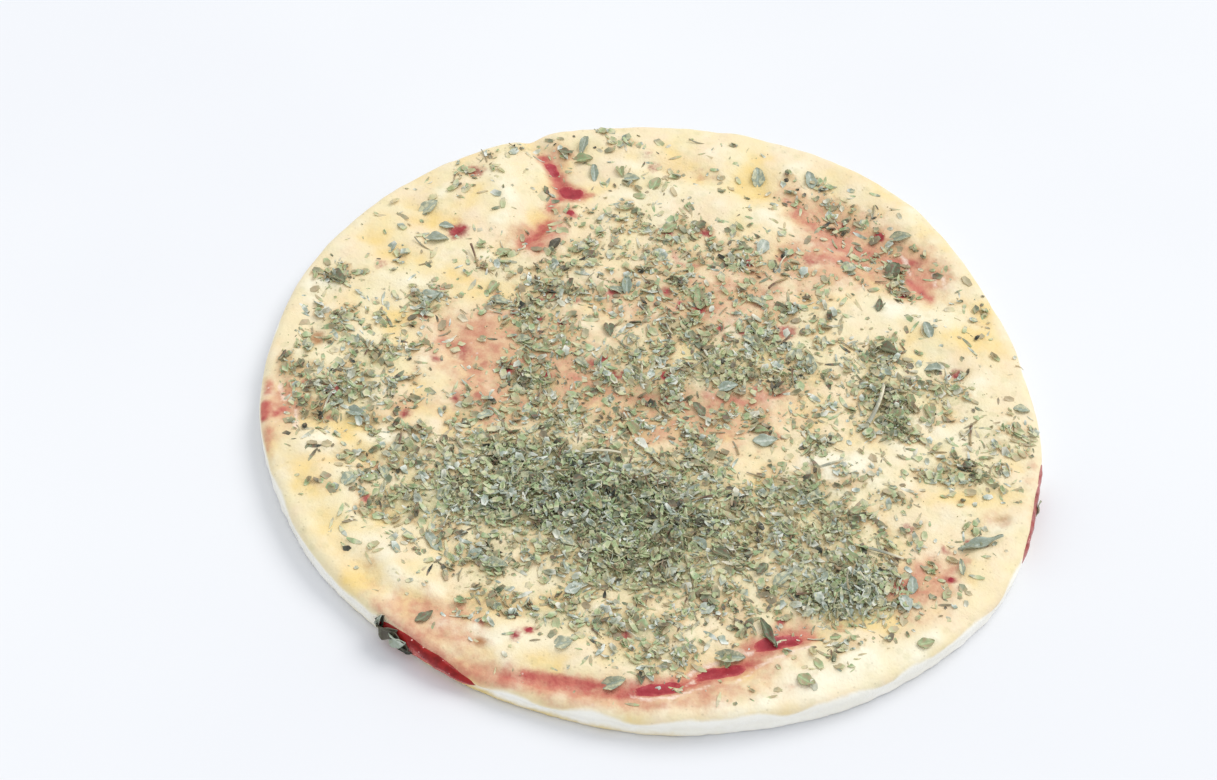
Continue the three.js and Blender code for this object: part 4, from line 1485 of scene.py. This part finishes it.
def make_stems(draws, field, material):
    x, y = draw_herb_places(draws, field, STEM_COUNT)
    number = len(x)
    length = STEM_LENGTH * np.exp(draws.normal(0, STEM_SPREAD, number))
    heading = draws.uniform(0, 2 * math.pi, number)
    tints = draws.choice([TONES[tone] for tone in STEM_TINTS], number)
    large = np.array([stem[:4] for stem in LARGE_STEMS], dtype=float)
    large_x, large_y, large_length, large_heading = large.T
    x, y = np.concatenate([x, large_x]), np.concatenate([y, large_y])
    length = np.concatenate([length, large_length])
    heading = np.concatenate([heading, np.radians(large_heading)])
    tints = np.concatenate([tints, [TONES[stem[-1]] for stem in LARGE_STEMS]])
    tilt = np.radians(draws.normal(0, STEM_TILT, len(x)))
    frames = surface_frames(x, y, heading, tilt, np.zeros_like(x))
    lift = STEM_LIFT + HEAP_RISE * herb_thickness(x, y) ** 2
    lift[number:] += LARGE_STEM_LIFT
    places = np.stack([x, y, surface_height(x, y) + lift], -1)
    thickness = STEM_THICKNESS + STEM_GIRTH * length
    scales = np.stack([length, thickness, thickness], -1)
    forms = [model_stem(bow) for bow in STEM_FORMS]
    kinds = draws.integers(0, len(forms), len(x))
    veils = np.zeros(len(x))
    joined_copies("herb_stems", forms, kinds, places, frames, scales, tints, veils, material)


# Materials: scales of their patterns are per metre, and distances of their bumps in metres

def srgb(red, green, blue):
    """A display colour from 0 to 255 as the linear colour that a shader takes."""
    shares = np.array([red, green, blue]) / 255
    linear = np.where(shares <= 0.04045, shares / 12.92, ((shares + 0.055) / 1.055) ** 2.4)
    return (*linear.tolist(), 1)


# Tones of the dough
DOUGH_CREAM = srgb(243, 229, 193)
DOUGH_YELLOW = srgb(241, 218, 166)
DOUGH_PALE = srgb(248, 239, 214)
DOUGH_STRAW = srgb(238, 213, 150)
DOUGH_GRAIN = srgb(222, 202, 174)
DOUGH_PEACH = srgb(245, 217, 184)
DOUGH_GREENISH = srgb(238, 231, 186)
# Deeper yellow of the crust, which also paints the shade in hollows, creases and on furrow slopes
GOLDEN_CRUST_AND_SHADE = srgb(241, 210, 136)
# Pale dough, which also paints the highlight on the tops of puffs and lumps
PALE_CRUST_AND_HIGHLIGHT = srgb(248, 241, 217)
TOAST_BROWN = srgb(170, 116, 72)

# White side, its toasted lower edge, and painted shade in the docking pits
RAW_WHITE = srgb(254, 252, 245)
RAW_CREAM = srgb(249, 246, 235)
RAW_SHADE = srgb(246, 241, 226)
FOOT_YELLOW = srgb(232, 208, 142)
PIT_PAINTED_SHADE = srgb(212, 200, 166)

# Sauce in the dough
BLUSH_PEACH = srgb(224, 180, 142)
BLUSH_PINK = srgb(206, 144, 116)
STAIN_PINK = srgb(205, 117, 100)
STAIN_RED = srgb(184, 84, 78)
STAIN_GLINT = srgb(240, 216, 204)
SPOT_RED = srgb(172, 64, 68)
SPOT_CRIMSON = srgb(144, 40, 46)
STREAK_PINK = srgb(246, 222, 204)

# What the herbs leave on the dough, the shade painted round and between them, and dough baked over them
# Tan stain round crowded herbs that also paints the shade they cast on the dough
HALO_TAN_AND_SHADE = srgb(217, 184, 136)
DUST_OLIVE = srgb(182, 180, 134)
# Painted shade in the pockets between thickly heaped herbs, laid over their dust
DUST_AND_POCKET_SHADE = srgb(112, 98, 72)
SPECK_PALE = srgb(196, 192, 146)
SPECK_DARK = srgb(120, 104, 70)
VEIL_DOUGH = srgb(228, 206, 164)

# Standing sauce
THIN_SAUCE = srgb(177, 66, 74)
THIN_SAUCE_DARK = srgb(152, 44, 54)
THICK_SAUCE = srgb(158, 36, 32)
THICK_SAUCE_DARK = srgb(120, 22, 20)
SAUCE_EDGE = srgb(202, 106, 98)
SAUCE_DRIED = srgb(186, 128, 124)
SAUCE_GLINT = srgb(228, 168, 160)

# Floor
FLOOR_PALE = srgb(236, 237, 240)
FLOOR_COOL = srgb(233, 234, 238)

# Ramps of the dried herb and of dry stems
HERB_TONES = [
    (0.0, srgb(26, 30, 26)),
    (0.07, srgb(75, 83, 68)),
    (0.13, srgb(122, 88, 70)),
    (0.19, srgb(98, 115, 87)),
    (0.28, srgb(135, 140, 112)),
    (0.38, srgb(171, 154, 119)),
    (0.47, srgb(149, 174, 127)),
    (0.57, srgb(187, 199, 153)),
    (0.65, srgb(212, 209, 175)),
    (0.72, srgb(146, 157, 138)),
    (0.8, srgb(168, 181, 169)),
    (0.88, srgb(206, 212, 201)),
    (1.0, srgb(237, 238, 228)),
]
STEM_TONES = [
    (0.0, srgb(80, 58, 48)),
    (0.16, srgb(124, 94, 74)),
    (0.32, srgb(172, 150, 108)),
    (0.78, srgb(160, 163, 148)),
    (0.88, srgb(204, 198, 172)),
    (1.0, srgb(236, 226, 198)),
]

# Mottle within a herb: scale of its noise and how much it shifts the tint
MOTTLE_SCALE = 900
MOTTLE_SHIFT = 0.3

# How fast raggedness sets in as a mask gets stronger, and solid share of a speckle's radius
RAG_GATE = 4
SPECKLE_CORE = 0.5

# Kinds of group sockets
NUMBER = "NodeSocketFloat"
COLOUR = "NodeSocketColor"
WHITE = (1, 1, 1, 1)


def add_node(tree, kind, **values):
    node = tree.nodes.new(kind)
    for key, value in values.items():
        setattr(node, key, value)
    return node


def set_or_link(tree, socket, value):
    """Gives a socket a plain value, or links it to the socket that the value is."""
    if isinstance(value, bpy.types.NodeSocket):
        tree.links.new(value, socket)
    else:
        socket.default_value = value


def math_in(tree, operation, first, second):
    node = add_node(tree, "ShaderNodeMath", operation=operation)
    set_or_link(tree, node.inputs[0], first)
    set_or_link(tree, node.inputs[1], second)
    return node.outputs[0]


def spread_in(tree, value, low, high):
    """A soft step from 0 at low to 1 at high."""
    node = add_node(tree, "ShaderNodeMapRange", interpolation_type="SMOOTHSTEP")
    set_or_link(tree, node.inputs["Value"], value)
    set_or_link(tree, node.inputs["From Min"], low)
    set_or_link(tree, node.inputs["From Max"], high)
    return node.outputs["Result"]


def lay_colour(tree, below, colour, mask):
    """Mixes a colour over what is below, by a mask."""
    mix = add_node(tree, "ShaderNodeMix", data_type="RGBA")
    set_or_link(tree, mix.inputs["Factor"], mask)
    set_or_link(tree, mix.inputs["A"], below)
    set_or_link(tree, mix.inputs["B"], colour)
    return mix.outputs["Result"]


def noise_in(tree, scale, detail, roughness):
    coordinates = add_node(tree, "ShaderNodeTexCoord")
    node = add_node(tree, "ShaderNodeTexNoise")
    set_or_link(tree, node.inputs["Vector"], coordinates.outputs["Object"])
    set_or_link(tree, node.inputs["Scale"], scale)
    set_or_link(tree, node.inputs["Detail"], detail)
    set_or_link(tree, node.inputs["Roughness"], roughness)
    return node.outputs["Fac"]


def new_group(name, inputs, outputs):
    group = bpy.data.node_groups.new(name, "ShaderNodeTree")
    for socket, kind, value in inputs:
        group.interface.new_socket(socket, in_out="INPUT", socket_type=kind).default_value = value
    for socket, kind in outputs:
        group.interface.new_socket(socket, in_out="OUTPUT", socket_type=kind)
    return group, group.nodes.new("NodeGroupInput").outputs, group.nodes.new("NodeGroupOutput").inputs


def make_uneven_tone():
    """A colour that drifts towards another in soft clouds."""
    group, given, result = new_group(
        "uneven_tone",
        [("Colour", COLOUR, WHITE), ("Other", COLOUR, WHITE),
         ("Scale", NUMBER, 100), ("Amount", NUMBER, 1)],
        [("Colour", COLOUR)])
    clouds = noise_in(group, given["Scale"], detail=3, roughness=0.55)
    clouds = spread_in(group, clouds, low=0.36, high=0.66)
    amount = math_in(group, "MULTIPLY", clouds, given["Amount"])
    group.links.new(lay_colour(group, given["Colour"], given["Other"], amount), result["Colour"])
    return group


def make_ragged_mask():
    """A painted mask whose edge is broken up, so that it looks soaked in and not airbrushed."""
    group, given, result = new_group(
        "ragged_mask",
        [("Mask", NUMBER, 0), ("Scale", NUMBER, 200), ("Rag", NUMBER, 0.6),
         ("Low", NUMBER, 0.2), ("High", NUMBER, 0.8)],
        [("Mask", NUMBER)])
    grain = noise_in(group, given["Scale"], detail=4, roughness=0.62)
    centred = math_in(group, "SUBTRACT", grain, 0.5)
    gate = math_in(group, "MINIMUM", math_in(group, "MULTIPLY", given["Mask"], RAG_GATE), 1)
    rag = math_in(group, "MULTIPLY", math_in(group, "MULTIPLY", centred, given["Rag"]), gate)
    ragged = math_in(group, "ADD", given["Mask"], rag)
    group.links.new(spread_in(group, ragged, given["Low"], given["High"]), result["Mask"])
    return group


def make_speckle():
    """A mask of small soft spots at random places."""
    group, given, result = new_group(
        "speckle",
        [("Scale", NUMBER, 300), ("Radius", NUMBER, 0.3), ("Share", NUMBER, 0.5)],
        [("Mask", NUMBER)])
    coordinates = add_node(group, "ShaderNodeTexCoord")
    cells = add_node(group, "ShaderNodeTexVoronoi")
    split = add_node(group, "ShaderNodeSeparateColor")
    group.links.new(coordinates.outputs["Object"], cells.inputs["Vector"])
    group.links.new(given["Scale"], cells.inputs["Scale"])
    group.links.new(cells.outputs["Color"], split.inputs["Color"])
    core = math_in(group, "MULTIPLY", given["Radius"], SPECKLE_CORE)
    spot = spread_in(group, cells.outputs["Distance"], low=given["Radius"], high=core)
    chosen = math_in(group, "LESS_THAN", split.outputs["Red"], given["Share"])
    group.links.new(math_in(group, "MULTIPLY", spot, chosen), result["Mask"])
    return group


def make_fine_grain():
    """Height of a fine uneven skin: soft lumps with a finer grain on them."""
    group, given, result = new_group(
        "fine_grain",
        [("Lumps", NUMBER, 300), ("Grain", NUMBER, 1500), ("Share", NUMBER, 0.35)],
        [("Height", NUMBER)])
    mix = add_node(group, "ShaderNodeMix", data_type="FLOAT")
    group.links.new(given["Share"], mix.inputs["Factor"])
    group.links.new(noise_in(group, given["Lumps"], detail=2, roughness=0.5), mix.inputs["A"])
    group.links.new(noise_in(group, given["Grain"], detail=2, roughness=0.6), mix.inputs["B"])
    group.links.new(mix.outputs["Result"], result["Height"])
    return group


def place_group(tree, group, **values):
    node = tree.nodes.new("ShaderNodeGroup")
    node.node_tree = group
    for key, value in values.items():
        set_or_link(tree, node.inputs[key], value)
    return node.outputs[0]


def new_material(name, roughness, specular):
    material = bpy.data.materials.new(name)
    material.use_nodes = True
    shader = material.node_tree.nodes["Principled BSDF"]
    shader.inputs["Roughness"].default_value = roughness
    shader.inputs["Specular IOR Level"].default_value = specular
    return material, material.node_tree, shader


def read_mask(tree, name):
    node = add_node(tree, "ShaderNodeAttribute", attribute_type="GEOMETRY", attribute_name=name)
    return node.outputs["Fac"]


def lay_bump(tree, shader, groups, strength, distance, **values):
    bump = add_node(tree, "ShaderNodeBump")
    bump.inputs["Strength"].default_value = strength
    bump.inputs["Distance"].default_value = distance
    tree.links.new(place_group(tree, groups["fine_grain"], **values), bump.inputs["Height"])
    tree.links.new(bump.outputs["Normal"], shader.inputs["Normal"])


def lay_layers(tree, shader, colour, layers):
    """Lays each layer's colour over those before it, by its mask, and gives the shader the result."""
    for layer, mask in layers:
        colour = lay_colour(tree, colour, layer, mask)
    tree.links.new(colour, shader.inputs["Base Color"])


def make_crust_material(groups):
    material, tree, shader = new_material("baked_crust", roughness=0.5, specular=0.35)
    dust = read_mask(tree, "dust")

    def tone(colour, other, scale, amount):
        values = {"Colour": colour, "Other": other, "Scale": scale, "Amount": amount}
        return place_group(tree, groups["uneven_tone"], **values)

    def ragged(name, **values):
        return place_group(tree, groups["ragged_mask"], Mask=read_mask(tree, name), **values)

    def speckle(**values):
        return place_group(tree, groups["speckle"], **values)

    def speckled(spots, bare, dusted):
        """Spots as strong as given on bare dough, and stronger where the herbs left dust."""
        strength = math_in(tree, "ADD", math_in(tree, "MULTIPLY", dust, dusted), bare)
        return math_in(tree, "MULTIPLY", spots, strength)

    dough = tone(DOUGH_CREAM, DOUGH_YELLOW, scale=55, amount=0.8)
    dough = tone(dough, DOUGH_PALE, scale=140, amount=0.4)
    dough = tone(dough, DOUGH_STRAW, scale=240, amount=0.25)
    dough = tone(dough, DOUGH_GRAIN, scale=620, amount=0.22)
    dough = tone(dough, DOUGH_PEACH, scale=75, amount=0.5)
    dough = tone(dough, DOUGH_GREENISH, scale=110, amount=0.4)
    raw = tone(tone(RAW_WHITE, RAW_CREAM, scale=45, amount=0.9), RAW_SHADE, scale=260, amount=0.3)
    blush = tone(BLUSH_PEACH, BLUSH_PINK, scale=260, amount=1)
    stain = tone(STAIN_PINK, STAIN_RED, scale=300, amount=1)
    sauce = tone(SPOT_RED, SPOT_CRIMSON, scale=500, amount=1)
    crowded_blush = math_in(tree, "MULTIPLY", read_mask(tree, "blush"), read_mask(tree, "halo"))
    crowded_blush = spread_in(tree, crowded_blush, low=0.05, high=0.5)
    flecks = math_in(tree, "MULTIPLY", speckle(Scale=170, Radius=0.36, Share=0.35), crowded_blush)
    glints = speckle(Scale=520, Radius=0.24, Share=0.14)
    glints = math_in(tree, "MULTIPLY", glints, read_mask(tree, "stain"))
    pale_specks = speckled(speckle(Scale=330, Radius=0.42, Share=0.5), bare=0.15, dusted=0.8)
    dark_specks = speckled(speckle(Scale=800, Radius=0.32, Share=0.2), bare=0.15, dusted=0.85)
    lay_layers(tree, shader, dough, [
        # Deeper yellow crust and painted shade in hollows and on furrow slopes
        (GOLDEN_CRUST_AND_SHADE, ragged("golden_and_shade", Scale=150, Rag=1.2, Low=0.15, High=1.35)),
        # Pale dough and painted highlight on the tops of puffs and lumps
        (PALE_CRUST_AND_HIGHLIGHT, ragged("pale", Scale=170, Rag=0.7, Low=0.1, High=1.1)),
        (blush, ragged("blush", Scale=220, Rag=1.2, Low=0.1, High=0.9)),
        # Tan stain and painted shade round crowded herbs
        (HALO_TAN_AND_SHADE, ragged("halo", Scale=420, Rag=1.0, Low=0.25, High=1.3)),
        (DUST_OLIVE, ragged("dust", Scale=900, Rag=1.2, Low=0.1, High=1.0)),
        # Painted shade in the pockets between thickly heaped herbs
        (DUST_AND_POCKET_SHADE, ragged("dust", Scale=600, Rag=1.0, Low=0.5, High=1.2)),
        (SPECK_PALE, pale_specks),
        (TOAST_BROWN, ragged("toast", Scale=300, Rag=0.8, Low=0.2, High=1.0)),
        (stain, ragged("stain", Scale=420, Rag=0.6, Low=0.25, High=0.9)),
        (STAIN_GLINT, glints),
        (sauce, flecks),
        (sauce, ragged("sauce", Scale=330, Rag=1.5, Low=0.13, High=0.9)),
        (STREAK_PINK, ragged("streak", Scale=500, Rag=1.6, Low=0.35, High=1.2)),
        (SPECK_DARK, dark_specks),
        (raw, ragged("raw", Scale=260, Rag=0.7, Low=0.15, High=0.85)),
        (FOOT_YELLOW, ragged("foot", Scale=160, Rag=1.0, Low=0.15, High=1.0)),
        # Painted shade in the docking pits
        (PIT_PAINTED_SHADE, ragged("pit_shade", Scale=500, Rag=0.4, Low=0.1, High=1.3)),
    ])
    lay_bump(tree, shader, groups, strength=0.8, distance=0.0006, Lumps=320, Grain=1400, Share=0.4)
    return material


def make_herb_material(groups, name, tones):
    material, tree, shader = new_material(name, roughness=0.48, specular=0.55)
    ramp = add_node(tree, "ShaderNodeValToRGB")
    elements = ramp.color_ramp.elements
    while len(elements) < len(tones):
        elements.new(0.5)
    for element, (place, colour) in zip(elements, tones):
        element.position = place
        element.color = colour
    mottle = math_in(tree, "SUBTRACT", noise_in(tree, MOTTLE_SCALE, detail=2, roughness=0.6), 0.5)
    mottle = math_in(tree, "MULTIPLY", mottle, MOTTLE_SHIFT)
    tree.links.new(math_in(tree, "ADD", read_mask(tree, "tint"), mottle), ramp.inputs["Fac"])
    lay_layers(tree, shader, ramp.outputs["Color"], [(VEIL_DOUGH, read_mask(tree, "veil"))])
    lay_bump(tree, shader, groups, strength=0.5, distance=0.0002, Lumps=900, Grain=2600, Share=0.4)
    return material


def make_sauce_material(groups):
    material, tree, shader = new_material("baked_sauce", roughness=0.26, specular=0.2)

    def tone(colour, other, scale):
        values = {"Colour": colour, "Other": other, "Scale": scale, "Amount": 0.9}
        return place_group(tree, groups["uneven_tone"], **values)

    def ragged(name, **values):
        return place_group(tree, groups["ragged_mask"], Mask=read_mask(tree, name), **values)

    deep = read_mask(tree, "deep")
    glints = place_group(tree, groups["speckle"], Scale=1000, Radius=0.26, Share=0.2)
    lay_layers(tree, shader, tone(THIN_SAUCE, THIN_SAUCE_DARK, scale=300), [
        (tone(THICK_SAUCE, THICK_SAUCE_DARK, scale=420), deep),
        (SAUCE_EDGE, ragged("edge", Scale=500, Rag=1.2, Low=0.3, High=1.0)),
        (SAUCE_DRIED, ragged("dry", Scale=300, Rag=2.4, Low=0.3, High=1.3)),
        (SAUCE_GLINT, math_in(tree, "MULTIPLY", glints, math_in(tree, "ADD", deep, 0.3))),
    ])
    lay_bump(tree, shader, groups, strength=0.6, distance=0.0005, Lumps=420, Grain=1600, Share=0.35)
    return material


# Floor, light and camera

def make_floor(groups):
    deselect_all()
    bpy.ops.mesh.primitive_plane_add(size=FLOOR_SIZE * MM, location=(0, 0, -FLOOR_GAP * MM))
    floor = bpy.context.object
    floor.name = "floor"
    material, tree, shader = new_material("pale_floor", roughness=0.9, specular=0.3)
    colour = place_group(
        tree, groups["uneven_tone"], Colour=FLOOR_PALE, Other=FLOOR_COOL, Scale=4, Amount=1)
    tree.links.new(colour, shader.inputs["Base Color"])
    floor.data.materials.append(material)


def light_scene():
    scene = bpy.context.scene
    scene.view_settings.view_transform = "Standard"
    world = bpy.data.worlds.new("soft_room")
    world.use_nodes = True
    background = world.node_tree.nodes["Background"]
    background.inputs["Color"].default_value = ROOM_COLOUR
    background.inputs["Strength"].default_value = ROOM_STRENGTH
    scene.world = world
    deselect_all()
    bpy.ops.object.light_add(type="SUN", rotation=[math.radians(tilt) for tilt in KEY_TILTS])
    key = bpy.context.object
    key.name = "key_light"
    key.data.energy = KEY_STRENGTH
    key.data.angle = math.radians(KEY_SPREAD)
    key.data.color = KEY_COLOUR


def place_camera():
    elevation, roll = math.radians(CAMERA_ELEVATION), math.radians(CAMERA_ROLL)
    back = Vector((0, -math.cos(elevation), math.sin(elevation)))
    right = Vector((1, 0, 0))
    up = back.cross(right)
    rolled_right = right * math.cos(roll) + up * math.sin(roll)
    rolled_up = up * math.cos(roll) - right * math.sin(roll)
    camera = bpy.data.cameras.new("camera")
    camera.sensor_width = SENSOR_WIDTH
    camera.angle = math.radians(CAMERA_FIELD)
    camera.shift_x = -CENTRE_RIGHT_PIXELS / PHOTO_WIDTH
    camera.shift_y = CENTRE_DOWN_PIXELS / PHOTO_WIDTH
    viewer = bpy.data.objects.new("camera", camera)
    turn = Matrix((rolled_right, rolled_up, back)).transposed().to_4x4()
    viewer.matrix_world = Matrix.Translation(back * CAMERA_DISTANCE * MM) @ turn
    bpy.context.scene.collection.objects.link(viewer)
    bpy.context.scene.camera = viewer


def main():
    draws = np.random.default_rng(SEED)
    groups = {"uneven_tone": make_uneven_tone(), "ragged_mask": make_ragged_mask(),
              "speckle": make_speckle(), "fine_grain": make_fine_grain()}
    herb = make_herb_material(groups, "dried_herb", HERB_TONES)
    straw = make_herb_material(groups, "dry_stem", STEM_TONES)
    place_camera()
    light_scene()
    make_floor(groups)
    field = herb_field()
    flake_places = draw_herb_places(draws, field, FLAKE_COUNT)
    make_bread(make_crust_material(groups), flake_places)
    make_sauce(make_sauce_material(groups))
    make_leaves(draws, herb)
    flakes = [model_flake(*form) for form in FLAKE_FORMS]
    shreds = [model_shred(*form) for form in SHRED_FORMS]
    crumbs = [model_crumb(*form) for form in CRUMB_FORMS]
    kinds = [("herb_flakes", flakes, flake_places, FLAKE_LENGTH),
             ("herb_shreds", shreds, draw_herb_places(draws, field, SHRED_COUNT), SHRED_LENGTH),
             ("herb_crumbs", crumbs, draw_crumb_places(draws, field, flake_places), CRUMB_LENGTH)]
    for name, forms, places, length in kinds:
        scatter_herbs(draws, name, forms, places, herb_halo(flake_places, *places), length, herb)
    make_stems(draws, field, straw)


main()
